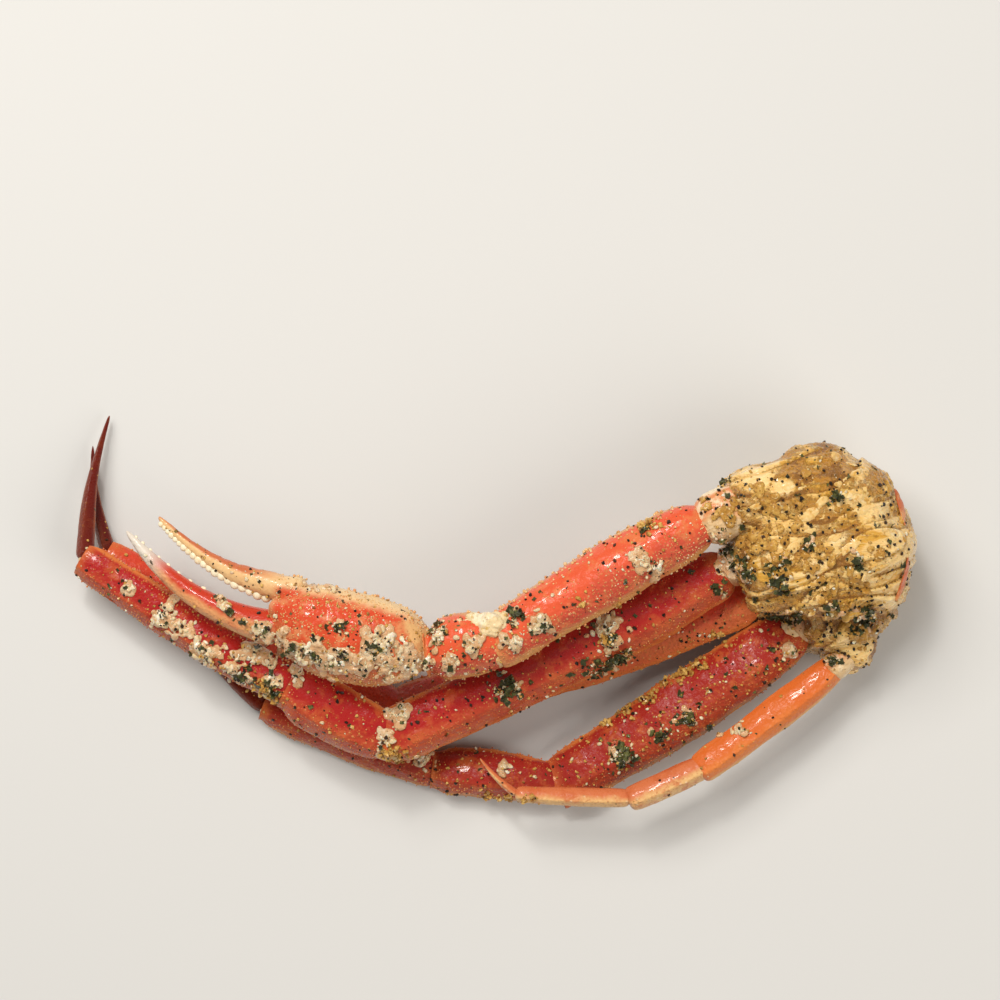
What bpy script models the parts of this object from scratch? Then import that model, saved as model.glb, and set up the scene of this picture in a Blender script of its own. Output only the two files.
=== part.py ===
"""Snow crab cluster: one cooked shoulder section with its claw arm and four walking legs, folded flat.

The cluster lies on its broken shell side. +Z is up, +X runs from the knees of the long legs to the
shoulder, and the origin is on the ground under the middle of the cluster. Every shell segment is an
object of its own, and each one sits in a socket of the segment before it.
"""

import math

import bmesh
import bpy
from mathutils import Matrix, Vector, noise
from mathutils.bvhtree import BVHTree

MM = 0.001
CLEARANCE = 0.4 * MM  # air between a segment and the socket that holds it
SEAT_DEPTH = 0.22  # how far a segment reaches into its socket, as a share of its own width
END_ROUNDING = 0.8  # length of a segment's rounded end, as a share of half its width
SHARP_ANGLE = 50  # degrees between two faces from which their edge is shaded sharp

# Shares of the full width at the start, at one third, at two thirds and at the end of a segment.
FORM = {
    "basis": (0.95, 1.0, 1.0, 0.85),
    "merus": (0.62, 1.22, 0.92, 0.80),
    "carpus": (0.62, 0.92, 1.16, 0.86),
    "propodus": (0.78, 1.10, 0.92, 0.74),
    "dactyl": (1.00, 0.80, 0.46, 0.12),
    "palm": (0.66, 1.22, 1.10, 0.84),
    "finger": (1.00, 0.86, 0.52, 0.22),
    "lobe": (0.72, 1.18, 1.05, 0.60),
}

# Sides round a segment, and rings along it.
FACETS = {
    "basis": (10, 7),
    "merus": (12, 13),
    "carpus": (10, 9),
    "propodus": (10, 11),
    "dactyl": (8, 9),
    "palm": (14, 11),
    "finger": (8, 12),
    "lobe": (14, 10),
}

# Each limb: its joints from the shoulder out, in mm, then the full width and thickness of each
# segment, its roll about its own length in degrees, and how far its middle bows to its left.
SEGMENTS = ("basis", "merus", "carpus", "propodus", "dactyl")
LIMBS = {
    "claw": {
        "joints": [(72, 30, 27.5), (56.5, 23.5, 29), (0.4, -9.5, 30.5), (-17.5, -11.5, 28.5)],
        "width": (15, 17.5, 18),
        "thickness": (14, 14.5, 15.5),
        "roll": (0, 12, 0),
        "bow": (0, -1.2, -0.8),
    },
    "leg_1": {
        "joints": [(78, 19, 21), (63, 10.5, 20.5), (-30.5, -37, 17.6), (-57, -22.5, 16.6),
                   (-116, 13.2, 12), (-110, 55.2, 2.4)],
        "width": (13, 18.5, 17.5, 13.2, 5.4),
        "thickness": (11, 10.5, 10, 8.6, 4.4),
        "roll": (0, -6, -12, -8, 0),
        "bow": (0, 1.0, 0.6, 1.0, 2.0),
    },
    "leg_2": {
        "joints": [(87, 9, 11), (71.5, 3.2, 9.6), (-27.5, -30, 4.5), (-48.5, -18.5, 3.4),
                   (-110, 15, 2.9), (-115, 47, 1.6)],
        "width": (13, 18, 14, 10.5, 4.6),
        "thickness": (11, 10, 9, 7.4, 3.8),
        "roll": (0, 4, 0, 0, 0),
        "bow": (0, 0.8, 0.5, 0.8, 2.0),
    },
    "leg_3": {
        "joints": [(97, 3.5, 12), (84, -6.5, 10.6), (17.5, -50.5, 4.6), (-17, -46.5, 3.7),
                   (-65.5, -28.8, 3.0), (-88, -6, 1.6)],
        "width": (13, 18.5, 13.5, 11.5, 5.4),
        "thickness": (11, 10, 9.6, 8, 3.8),
        "roll": (0, 5, 0, 0, 0),
        "bow": (0, 1.0, -0.8, 0.8, 1.2),
    },
    "leg_4": {
        "joints": [(104, -7.5, 12.5), (95.5, -16.5, 13), (58.7, -44.2, 14.6), (38.2, -53.2, 15.6),
                   (5.8, -52.2, 15.9), (-4.4, -42.4, 13.4)],
        "width": (8.6, 10, 7.6, 5.6, 2.4),
        "thickness": (8, 7.4, 6.4, 4.8, 2.2),
        "roll": (0, 0, 0, 0, 0),
        "bow": (0, 0.5, 0.4, 0.3, 0.8),
    },
}

# The claw's hand lies on its side: palm, the finger that is one piece with it, and the one that moves.
PALM = {"ends": [(-16.5, -11.5, 28.5), (-64, -0.5, 27)], "width": 24, "thickness": 16.5, "bow": 1.6}
FIXED_FINGER = {"ends": [(-55, 5.4, 27), (-95, 26.2, 22.5)], "width": 7.2, "thickness": 6.2, "bow": 4.2}
MOVING_FINGER = {"ends": [(-59, -6.6, 27), (-104, 22.2, 20.5)], "width": 9.8, "thickness": 7.6, "bow": 5.4}

# Rounded teeth on the fingers' biting edges, the first and the last by their share of the finger.
TOOTH = 1.2  # radius of a tooth at the palm, in mm
TOOTH_TAPER = 0.6  # how much smaller a tooth at the tip is, as a share
BIG_TOOTH = 1.18  # every third tooth is larger by this much
FIXED_TEETH = {"count": 13, "first": 0.13, "last": 0.93, "side": 1}
MOVING_TEETH = {"count": 6, "first": 0.40, "last": 0.93, "side": -1}

# The shoulder: a core, the meat compartments that run back from the limbs, and the breast shell below.
# Each has its two ends, its width and its thickness, in mm.
LOBES = {
    "core": [(63, 20, 20), (118.6, 19, 19), 41, 35],
    "claw": [(61, 28.5, 26), (113, 33, 23), 23, 25],
    "crest": [(77, 36, 25), (100, 41, 23), 16, 17],
    "leg_1": [(64, 13, 25), (118, 19, 23), 25, 29],
    "leg_2": [(68, 6, 20), (117, 8, 18), 20, 29],
    "leg_3": [(84, -5, 13), (113, 2, 12), 20, 22],
    "leg_4": [(91, -10, 9.5), (109, -8, 8), 19, 17],
    "breast": [(66, 12, 5.4), (114, 10, 5.4), 46, 15],
}
RIPPLE = 1.3  # height of the uneven relief on the meat, in mm
RIPPLE_SIZE = 9  # distance from one rise of it to the next, in mm

# Clumps of garlic butter and herbs large enough to see from a step away, by node: how many, and the
# smallest and largest radius in mm.
SEASONING = {
    "shoulder": (33, 1.1, 2.2),
    "claw_merus": (8, 0.9, 1.6),
    "claw_carpus": (5, 0.9, 1.7),
    "claw_palm": (12, 0.9, 1.9),
    "leg_1_merus": (12, 0.8, 1.7),
    "leg_1_carpus": (8, 0.8, 1.6),
    "leg_1_propodus": (12, 0.9, 1.9),
    "leg_2_merus": (3, 0.8, 1.2),
    "leg_3_merus": (13, 0.8, 1.8),
    "leg_3_carpus": (4, 0.8, 1.5),
    "leg_3_propodus": (3, 0.8, 1.6),
    "leg_4_merus": (4, 0.7, 1.3),
}
SPREAD = (0.7548777, 0.5698403)  # steps across and along that scatter clumps evenly
TRIES = 30  # places looked at for each clump
LEAST_LEAN = 0.4  # how far upward a surface must face to hold a clump
SPACING = 1.15  # least distance between clumps, as a share of their two radii
STRETCH = 0.25  # how far a clump's length and width differ from its radius
SQUASH = 0.7  # height of a clump as a share of its radius
TURN = 2.4  # radians between one clump and the next, which keeps them from lining up

SHELL_RED = (0.60, 0.055, 0.025)
SHELL_ORANGE = (0.78, 0.20, 0.05)
MEAT_CREAM = (0.80, 0.62, 0.33)


def clear_scene():
    for obj in list(bpy.data.objects):
        bpy.data.objects.remove(obj)


def new_collection(name):
    collection = bpy.data.collections.new(name)
    bpy.context.scene.collection.children.link(collection)
    return collection


def make_material(name, colour, roughness):
    material = bpy.data.materials.new(name)
    material.use_nodes = True
    shader = material.node_tree.nodes["Principled BSDF"]
    shader.inputs["Base Color"].default_value = (*colour, 1)
    shader.inputs["Roughness"].default_value = roughness
    shader.inputs["Metallic"].default_value = 0.0
    return material


def share_along(form, t):
    """The width at t, from 0 to 1, as a cubic Bezier curve through the form's four shares."""
    a, b, c, d = form
    s = 1 - t
    return s ** 3 * a + 3 * s * s * t * b + 3 * s * t * t * c + t ** 3 * d


def rounded_end(t, length):
    """Closes both ends of a segment with a quarter circle, each a share of the length."""
    near = min(1.0, min(t, 1 - t) / length)
    return math.sqrt(max(0.0, 1 - (1 - near) ** 2))


def signed_power(value, power):
    return math.copysign(abs(value) ** power, value)


def segment_mesh(kind, start, end, width, thickness, roll=0.0, bow=0.0, grow=0.0, keel=1.18):
    """A shell segment: a sphere's rings laid along a bowed line, each ring a flattened lens."""
    around, along = FACETS[kind]
    start, end = Vector(start) * MM, Vector(end) * MM
    forward = (end - start).normalized()
    side = Vector((0, 0, 1)).cross(forward).normalized()
    turn = Matrix.Rotation(math.radians(roll), 3, forward)
    across = turn @ side
    up = turn @ forward.cross(side)
    length = (end - start).length
    half_width, half_thickness = width * MM / 2, thickness * MM / 2
    cap = min(0.45, END_ROUNDING * half_width / length)

    bm = bmesh.new()
    bmesh.ops.create_uvsphere(bm, u_segments=around, v_segments=along, radius=1)
    for vertex in bm.verts:
        angle = math.atan2(vertex.co.y, vertex.co.x)
        t = (1 + vertex.co.z) / 2
        share = share_along(FORM[kind], t) * rounded_end(t, cap)
        centre = start + forward * (length * t + grow * (2 * t - 1))
        centre += side * (bow * MM * math.sin(math.pi * t))
        ring = 0 if abs(vertex.co.z) > 0.9999 else 1
        x = (half_width * share + grow) * signed_power(math.cos(angle), keel) * ring
        z = (half_thickness * share + grow) * signed_power(math.sin(angle), keel) * ring
        vertex.co = centre + across * x + up * z
    mesh = bpy.data.meshes.new(kind)
    bm.to_mesh(mesh)
    bm.free()
    return mesh


def add_object(name, mesh, collection, material=None):
    obj = bpy.data.objects.new(name, mesh)
    collection.objects.link(obj)
    if material:
        mesh.materials.clear()
        mesh.materials.append(material)
        mesh.shade_smooth()
        mesh.set_sharp_from_angle(angle=math.radians(SHARP_ANGLE))
    return obj


def apply_modifiers(obj):
    graph = bpy.context.evaluated_depsgraph_get()
    finished = bpy.data.meshes.new_from_object(obj.evaluated_get(graph))
    obj.modifiers.clear()
    obj.data = finished


def join_all(obj, collection):
    """Fuses every object of the collection to obj, and removes them."""
    if not collection.objects:
        return
    union = obj.modifiers.new("fuse", "BOOLEAN")
    union.operation = "UNION"
    union.solver = "EXACT"
    union.operand_type = "COLLECTION"
    union.collection = collection
    apply_modifiers(obj)
    for piece in list(collection.objects):
        bpy.data.objects.remove(piece)


def cut_with(obj, cutter, solver="EXACT"):
    cut = obj.modifiers.new("socket", "BOOLEAN")
    cut.operation = "DIFFERENCE"
    cut.solver = solver
    cut.object = cutter
    apply_modifiers(obj)


def linked_vertices(start):
    """Every vertex joined to this one by edges."""
    found, waiting = {start}, [start]
    while waiting:
        vertex = waiting.pop()
        for edge in vertex.link_edges:
            other = edge.other_vert(vertex)
            if other not in found:
                found.add(other)
                waiting.append(other)
    return found


def drop_scraps(obj):
    """Keeps only the largest of the pieces that cutting left."""
    bm = bmesh.new()
    bm.from_mesh(obj.data)
    pieces, left = [], set(bm.verts)
    while left:
        pieces.append(linked_vertices(next(iter(left))))
        left -= pieces[-1]
    largest = max(pieces, key=len)
    bmesh.ops.delete(bm, geom=[vertex for vertex in bm.verts if vertex not in largest], context="VERTS")
    bm.to_mesh(obj.data)
    bm.free()


def rest_on_ground(obj):
    """Gives what would reach below the ground a small flat spot on it."""
    for vertex in obj.data.vertices:
        vertex.co.z = max(vertex.co.z, 0.0)


def limb_segments(limb):
    """For each segment of a limb: its kind and what segment_mesh needs."""
    joints = [Vector(point) for point in limb["joints"]]
    for index, width in enumerate(limb["width"]):
        start, end = joints[index], joints[index + 1]
        seat = (end - start).normalized() * (width * SEAT_DEPTH)
        start = start - seat if index else start
        size = {"width": width, "thickness": limb["thickness"][index]}
        yield SEGMENTS[index], {
            "start": start, "end": end + seat * 0.5, "roll": limb["roll"][index],
            "bow": limb["bow"][index], **size,
        }


def build_limb(name, limb, collection, cutters, material):
    """The segments of one limb, each let into the one before it."""
    built, sockets = [], []
    for kind, form in limb_segments(limb):
        node = f"{name}_{kind}"
        built.append(add_object(node, segment_mesh(kind, **form), collection, material))
        rest_on_ground(built[-1])
        socket = add_object(f"{node}_socket", segment_mesh(kind, **form, grow=CLEARANCE), cutters)
        sockets.append(socket)
    for outer, socket in zip(built, sockets[1:]):
        cut_with(outer, socket)
    return built, sockets


def finger_mesh(finger, grow=0.0):
    start, end = finger["ends"]
    return segment_mesh(
        "finger", start, end, finger["width"], finger["thickness"], bow=finger["bow"], grow=grow, keel=1.0
    )


def finger_line(finger, t):
    """The point on a finger's bowed middle line at t, and the direction to its left, in metres."""
    start, end = (Vector(point) * MM for point in finger["ends"])
    forward = (end - start).normalized()
    side = Vector((0, 0, 1)).cross(forward).normalized()
    return start + (end - start) * t + side * (finger["bow"] * MM * math.sin(math.pi * t)), side


def add_teeth(finger, teeth, collection):
    """Rounded teeth along a finger's biting edge, largest near the palm."""
    for index in range(teeth["count"]):
        t = teeth["first"] + (teeth["last"] - teeth["first"]) * index / (teeth["count"] - 1)
        radius = TOOTH * MM * (1 - TOOTH_TAPER * t) * (1.0 if index % 3 else BIG_TOOTH)
        point, side = finger_line(finger, t)
        reach = finger["width"] * MM / 2 * share_along(FORM["finger"], t)
        bm = bmesh.new()
        bmesh.ops.create_icosphere(bm, subdivisions=1, radius=radius)
        bmesh.ops.translate(bm, verts=bm.verts, vec=point + side * teeth["side"] * (reach + radius * 0.15))
        mesh = bpy.data.meshes.new("tooth")
        bm.to_mesh(mesh)
        bm.free()
        add_object(f"tooth_{index}", mesh, collection)


def palm_mesh(grow=0.0):
    start, end = PALM["ends"]
    return segment_mesh("palm", start, end, PALM["width"], PALM["thickness"], bow=PALM["bow"], grow=grow)


def build_claw_hand(collection, cutters, material):
    """The palm with its fixed finger, let into the wrist, and the moving finger, let into the palm."""
    loose = new_collection("claw_loose_pieces")
    palm = add_object("claw_palm", palm_mesh(), collection, material)
    add_object("fixed_finger", finger_mesh(FIXED_FINGER), loose)
    add_teeth(FIXED_FINGER, FIXED_TEETH, loose)
    join_all(palm, loose)
    finger = add_object("claw_finger", finger_mesh(MOVING_FINGER), collection, material)
    add_teeth(MOVING_FINGER, MOVING_TEETH, loose)
    join_all(finger, loose)
    bpy.data.collections.remove(loose)
    cut_with(palm, add_object("claw_finger_socket", finger_mesh(MOVING_FINGER, CLEARANCE), cutters))
    wrist = bpy.data.objects["claw_carpus"]
    cut_with(wrist, add_object("claw_palm_socket", palm_mesh(CLEARANCE), cutters))
    return [palm, finger]


def build_shoulder(collection, sockets, material):
    """Meat compartments fused over the breast shell, hollowed where the limbs leave it."""
    loose = new_collection("shoulder_loose_pieces")
    lobes = []
    for name, (start, end, width, thickness) in LOBES.items():
        mesh = segment_mesh("lobe", start, end, width, thickness, keel=0.9)
        for vertex in mesh.vertices:
            vertex.co += vertex.normal * noise.noise(vertex.co / (RIPPLE_SIZE * MM)) * RIPPLE * MM
        lobes.append(add_object(f"lobe_{name}", mesh, loose))
    shoulder = add_object("shoulder", lobes[-1].data.copy(), collection, material)
    bpy.data.objects.remove(lobes[-1])
    join_all(shoulder, loose)
    rest_on_ground(shoulder)
    for socket in sockets:
        cut_with(shoulder, socket, "MANIFOLD")
    drop_scraps(shoulder)
    bpy.data.collections.remove(loose)
    return shoulder


def surface_tree(obj):
    graph = bpy.context.evaluated_depsgraph_get()
    return BVHTree.FromObject(obj, graph)


def spots_on_top(name, trees, corners, amount):
    """Places spread evenly over a node's open upper side, with a radius for each, the largest first."""
    count, smallest, largest = amount
    low, high = corners
    others = [tree for other, tree in trees.items() if other != name]
    found = []
    for index in range(count * TRIES):
        x = low.x + (high.x - low.x) * ((0.5 + index * SPREAD[0]) % 1.0)
        y = low.y + (high.y - low.y) * ((0.5 + index * SPREAD[1]) % 1.0)
        above = Vector((x, y, high.z + 0.1))
        point, normal, _, depth = trees[name].ray_cast(above, Vector((0, 0, -1)))
        if not point or normal.z < LEAST_LEAN:
            continue
        covered = any(tree.ray_cast(above, Vector((0, 0, -1)), depth)[0] for tree in others)
        radius = MM * (largest - (largest - smallest) * len(found) / count)
        reach = radius * (1 + STRETCH) + CLEARANCE
        touching = any(tree.find_nearest(point, reach)[0] for tree in others)
        crowded = any((point - spot).length < (radius + size) * SPACING for spot, size in found)
        if not covered and not touching and not crowded:
            found.append((point, radius))
        if len(found) == count:
            break
    return found


def season(obj, trees, amount):
    """Fuses clumps of garlic and herbs to the top of one node."""
    points = [vertex.co for vertex in obj.data.vertices]
    low = Vector([min(point[axis] for point in points) for axis in range(3)])
    high = Vector([max(point[axis] for point in points) for axis in range(3)])
    clumps = new_collection(f"{obj.name}_clumps")
    for index, (point, radius) in enumerate(spots_on_top(obj.name, trees, (low, high), amount)):
        bm = bmesh.new()
        bmesh.ops.create_icosphere(bm, subdivisions=1, radius=radius)
        stretch = 1 + STRETCH * math.sin(TURN * index)
        flatten = Matrix.Diagonal((stretch, 1 / stretch, SQUASH, 1))
        spin = Matrix.Rotation(TURN * index, 4, "Z")
        bmesh.ops.transform(bm, matrix=Matrix.Translation(point) @ spin @ flatten, verts=bm.verts)
        mesh = bpy.data.meshes.new("clump")
        bm.to_mesh(mesh)
        bm.free()
        add_object(f"clump_{index}", mesh, clumps)
    join_all(obj, clumps)
    bpy.data.collections.remove(clumps)


def main():
    clear_scene()
    cluster = new_collection("snow_crab_cluster")
    cutters = new_collection("socket_cutters")
    shell = make_material("cooked_shell", SHELL_RED, 0.38)
    pale_shell = make_material("claw_shell", SHELL_ORANGE, 0.38)
    meat = make_material("shoulder_meat", MEAT_CREAM, 0.5)

    nodes, body_sockets = [], []
    for name, limb in LIMBS.items():
        material = pale_shell if name in ("claw", "leg_4") else shell
        built, sockets = build_limb(name, limb, cluster, cutters, material)
        nodes += built
        body_sockets += sockets[:2]
    nodes += build_claw_hand(cluster, cutters, pale_shell)
    nodes.append(build_shoulder(cluster, body_sockets, meat))

    trees = {node.name: surface_tree(node) for node in nodes}
    for node in nodes:
        if node.name in SEASONING:
            season(node, trees, SEASONING[node.name])

    for cutter in list(cutters.objects):
        bpy.data.objects.remove(cutter)
    bpy.data.collections.remove(cutters)


main()
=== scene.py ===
# %% [markdown]
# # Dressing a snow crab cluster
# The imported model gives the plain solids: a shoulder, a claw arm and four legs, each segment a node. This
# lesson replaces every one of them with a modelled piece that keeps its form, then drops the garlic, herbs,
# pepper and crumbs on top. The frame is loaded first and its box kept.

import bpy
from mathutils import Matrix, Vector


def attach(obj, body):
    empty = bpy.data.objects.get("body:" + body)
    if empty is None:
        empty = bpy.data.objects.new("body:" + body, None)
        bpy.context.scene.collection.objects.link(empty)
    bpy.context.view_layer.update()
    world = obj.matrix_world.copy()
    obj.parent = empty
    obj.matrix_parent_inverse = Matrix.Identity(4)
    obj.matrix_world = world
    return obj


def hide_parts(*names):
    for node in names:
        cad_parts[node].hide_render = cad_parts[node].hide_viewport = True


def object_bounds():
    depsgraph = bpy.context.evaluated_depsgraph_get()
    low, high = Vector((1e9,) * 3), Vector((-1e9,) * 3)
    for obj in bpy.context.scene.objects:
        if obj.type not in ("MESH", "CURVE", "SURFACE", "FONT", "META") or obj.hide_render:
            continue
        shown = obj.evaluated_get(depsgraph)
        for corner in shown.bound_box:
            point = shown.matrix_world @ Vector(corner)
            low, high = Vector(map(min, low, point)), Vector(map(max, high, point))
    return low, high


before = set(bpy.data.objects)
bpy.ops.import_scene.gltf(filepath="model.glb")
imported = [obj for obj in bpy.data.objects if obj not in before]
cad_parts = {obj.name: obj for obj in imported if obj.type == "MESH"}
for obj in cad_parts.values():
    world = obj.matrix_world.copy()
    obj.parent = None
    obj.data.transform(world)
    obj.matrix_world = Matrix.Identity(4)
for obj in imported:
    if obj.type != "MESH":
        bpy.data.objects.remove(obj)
cad_box = [list(corner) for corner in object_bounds()]

import math

import bmesh
import bpy
import numpy as np
from mathutils import Matrix, Vector, noise
from mathutils.bvhtree import BVHTree

MM = 0.001
print("nodes:", len(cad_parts), "box in mm:", [[round(v / MM, 1) for v in corner] for corner in cad_box])

# %% [markdown]
# ## Floor, light and camera
# Food is lit like a still life: one large soft window from the upper left and a weaker one across from it.
# A wet shell mirrors whatever is large and bright, which would wash the deep reds out, so the two windows
# are hidden from reflections. A third, small lamp makes the glints. The camera looks straight down from a
# metre, which keeps the legs from growing towards it.

# %% Stage, light and camera
FLOOR_SIZE = 12.0
FLOOR_DROP = 0.0003
CAMERA_HEIGHT = 1.02
FRAME_WIDTH = 0.28
FRAME_CENTRE = (0.98 * MM, 30.5 * MM)
FOCUS_HEIGHT = 0.02
SENSOR = 36.0

bpy.context.scene.view_settings.view_transform = "Standard"
bpy.context.scene.view_settings.look = "None"


def plain_material(name, colour, roughness):
    """A material whose colour needs no pattern, for the floor."""
    material = bpy.data.materials.new(name)
    material.use_nodes = True
    shader = material.node_tree.nodes["Principled BSDF"]
    shader.inputs["Base Color"].default_value = (*colour, 1)
    shader.inputs["Roughness"].default_value = roughness
    return material


def area_light(name, place, target, size, power, colour, mirrored):
    """A soft square light at one place, turned to face another. Wet surfaces mirror it or not."""
    bpy.ops.object.light_add(type="AREA", location=place)
    light = bpy.context.object
    light.name = name
    light.data.shape = "SQUARE"
    light.data.size = size
    light.data.energy = power
    light.data.color = colour
    aim = Vector(target) - Vector(place)
    light.rotation_euler = aim.to_track_quat("-Z", "Y").to_euler()
    light.visible_glossy = mirrored


bpy.ops.mesh.primitive_plane_add(size=FLOOR_SIZE, location=(0, 0, -FLOOR_DROP))
floor = bpy.context.object
floor.name = "floor"
floor.data.materials.append(plain_material("pale_floor", (0.60, 0.59, 0.57), 0.8))

area_light("window", (-0.45, 0.65, 1.05), (0, 0, 0.02), 0.80, 17.0, (1.0, 0.97, 0.92), False)
area_light("fill", (0.8, -0.5, 0.8), (0, 0, 0.02), 0.9, 8.0, (1.0, 0.96, 0.90), False)
area_light("glints", (-0.25, 0.75, 1.0), (0, 0, 0.02), 0.16, 3.4, (1.0, 0.99, 0.96), True)

world = bpy.data.worlds.new("room")
bpy.context.scene.world = world
world.use_nodes = True
world.node_tree.nodes["Background"].inputs["Color"].default_value = (1.0, 0.98, 0.95, 1)
world.node_tree.nodes["Background"].inputs["Strength"].default_value = 0.22

bpy.ops.object.camera_add(location=(*FRAME_CENTRE, CAMERA_HEIGHT), rotation=(0, 0, 0))
camera = bpy.context.object
camera.name = "camera"
camera.data.sensor_width = SENSOR
camera.data.lens = SENSOR * (CAMERA_HEIGHT - FOCUS_HEIGHT) / FRAME_WIDTH
camera.data.clip_end = 20
bpy.context.scene.camera = camera
print("lens in mm:", round(camera.data.lens, 1))

# %% [markdown]
# ## Node helpers
# A pattern is a short chain of nodes. These helpers add a node, mix two colours and turn a range of values
# into a mask, so that each finish below reads as a recipe.

# %% Node helpers
COLOUR, NUMBER, DIRECTION = "NodeSocketColor", "NodeSocketFloat", "NodeSocketVector"


def add_node(tree, kind, inputs=None, **settings):
    """A node with its settings made, its plain values set and its links joined."""
    made = tree.nodes.new(kind)
    for key, value in settings.items():
        setattr(made, key, value)
    for key, value in (inputs or {}).items():
        if isinstance(value, bpy.types.NodeSocket):
            tree.links.new(value, made.inputs[key])
        else:
            made.inputs[key].default_value = value
    return made


def mix(tree, factor, first, second):
    """first where the factor is 0 and second where it is 1."""
    return add_node(tree, "ShaderNodeMix", {0: factor, 6: first, 7: second}, data_type="RGBA").outputs[2]


def ramp(tree, value, low, high):
    """0 below low and 1 above high, smooth between them."""
    made = add_node(tree, "ShaderNodeMapRange", {0: value, 1: low, 2: high}, interpolation_type="SMOOTHSTEP")
    return made.outputs[0]


def maths(tree, operation, first, second=0.0):
    return add_node(tree, "ShaderNodeMath", {0: first, 1: second}, operation=operation).outputs[0]


def cloudy(tree, vector, scale, detail=3.0, roughness=0.55):
    inputs = {"Vector": vector, "Scale": scale, "Detail": detail, "Roughness": roughness}
    return add_node(tree, "ShaderNodeTexNoise", inputs).outputs["Fac"]


def add_bump(tree, shader, height, distance, strength):
    """Tilts a shader's surface by a height, as if it stood out by that distance."""
    made = add_node(tree, "ShaderNodeBump", {"Height": height, "Distance": distance, "Strength": strength})
    tree.links.new(made.outputs["Normal"], shader.inputs["Normal"])


def set_inputs(shader, values):
    """Plain values for a shader's sockets."""
    for title, value in values.items():
        shader.inputs[title].default_value = value


def new_group(name, sockets_in, sockets_out):
    """An empty node group with its named inputs and outputs."""
    group = bpy.data.node_groups.new(name, "ShaderNodeTree")
    for title, kind, value in sockets_in:
        socket = group.interface.new_socket(title, in_out="INPUT", socket_type=kind)
        if value is not None:
            socket.default_value = value
    for title, kind in sockets_out:
        group.interface.new_socket(title, in_out="OUTPUT", socket_type=kind)
    return group, group.nodes.new("NodeGroupInput").outputs, group.nodes.new("NodeGroupOutput").inputs


# %% [markdown]
# ## Cooked shell
# A cooked crab leg is a deep smooth red on its upper facet, coral and granular lower down, and orange along
# its keels, with a pale underside. Pale granules stand out of it. The colour follows the segment, so every
# shell piece carries an attribute, place, that says how far along, across and up a point lies on its own
# segment. One group works out the colour, the gloss and the height of the granules, and each kind of shell
# uses it with its own reds.

# %% The shell's colour group
SPECKS_PER_METRE = 1250
DOTS_PER_METRE = 520
MOTTLE_PER_METRE = 120
GRAIN_PER_METRE = 1500
PEBBLES_PER_METRE = 1000
SWELL_PER_METRE = 240
PATCHES_PER_METRE = 75
BUTTER_PER_METRE = 190

shell_group, given, wanted = new_group(
    "cooked_shell_pattern",
    [
        ("Place", DIRECTION, None),
        ("Point", DIRECTION, None),
        ("Deep", COLOUR, None),
        ("Bright", COLOUR, None),
        ("Upper Keel", COLOUR, None),
        ("Lower Keel", COLOUR, None),
        ("Pale", COLOUR, None),
        ("Specks", NUMBER, 0.5),
        ("Butter", NUMBER, 0.3),
        ("Facet", NUMBER, 0.25),
    ],
    [("Color", COLOUR), ("Roughness", NUMBER), ("Height", NUMBER)],
)


def inside(first, operation, second):
    """A short name for sums inside the shell's group."""
    return maths(shell_group, operation, first, second)


def cell_distance(inputs, **settings):
    """How far a point lies from the middle of its cell, for specks, dots and pebbles."""
    inputs = {"Vector": given["Point"]} | inputs
    return add_node(shell_group, "ShaderNodeTexVoronoi", inputs, **settings).outputs["Distance"]


place = add_node(shell_group, "ShaderNodeSeparateXYZ", {0: given["Place"]}).outputs
mottle = cloudy(shell_group, given["Point"], MOTTLE_PER_METRE, 4.0, 0.62)
grain = cloudy(shell_group, given["Point"], GRAIN_PER_METRE, 2.0)
uneven = inside(inside(mottle, "SUBTRACT", 0.5), "MULTIPLY", 1.5)

facet = inside(inside(place["Y"], "ADD", uneven), "SUBTRACT", given["Facet"])
lower_facet = ramp(shell_group, facet, -0.35, 0.35)
shell_colour = mix(shell_group, lower_facet, given["Deep"], given["Bright"])
dark_patch = ramp(shell_group, cloudy(shell_group, given["Point"], PATCHES_PER_METRE), 0.5, 0.72)
dark_patch = inside(dark_patch, "MULTIPLY", 0.5)
shell_colour = mix(shell_group, dark_patch, shell_colour, given["Deep"])

edge = inside(place["Y"], "ADD", inside(uneven, "MULTIPLY", 0.22))
shell_colour = mix(shell_group, ramp(shell_group, edge, -0.86, -1.02), shell_colour, given["Upper Keel"])
shell_colour = mix(shell_group, ramp(shell_group, edge, 0.84, 1.0), shell_colour, given["Lower Keel"])

ends = inside(inside(place["X"], "SUBTRACT", 0.5), "ABSOLUTE", 0.0)
ends = ramp(shell_group, inside(ends, "ADD", inside(uneven, "MULTIPLY", 0.08)), 0.43, 0.51)
shell_colour = mix(shell_group, inside(ends, "MULTIPLY", 0.7), shell_colour, given["Upper Keel"])
belly = ramp(shell_group, inside(place["Z"], "ADD", inside(uneven, "MULTIPLY", 0.5)), -0.15, -0.75)
shell_colour = mix(shell_group, inside(belly, "MULTIPLY", 0.75), shell_colour, given["Pale"])

butter = ramp(shell_group, cloudy(shell_group, given["Point"], BUTTER_PER_METRE, 4.0, 0.7), 0.50, 0.66)
butter = inside(butter, "MULTIPLY", given["Butter"])
shell_colour = mix(shell_group, butter, shell_colour, given["Upper Keel"])

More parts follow.
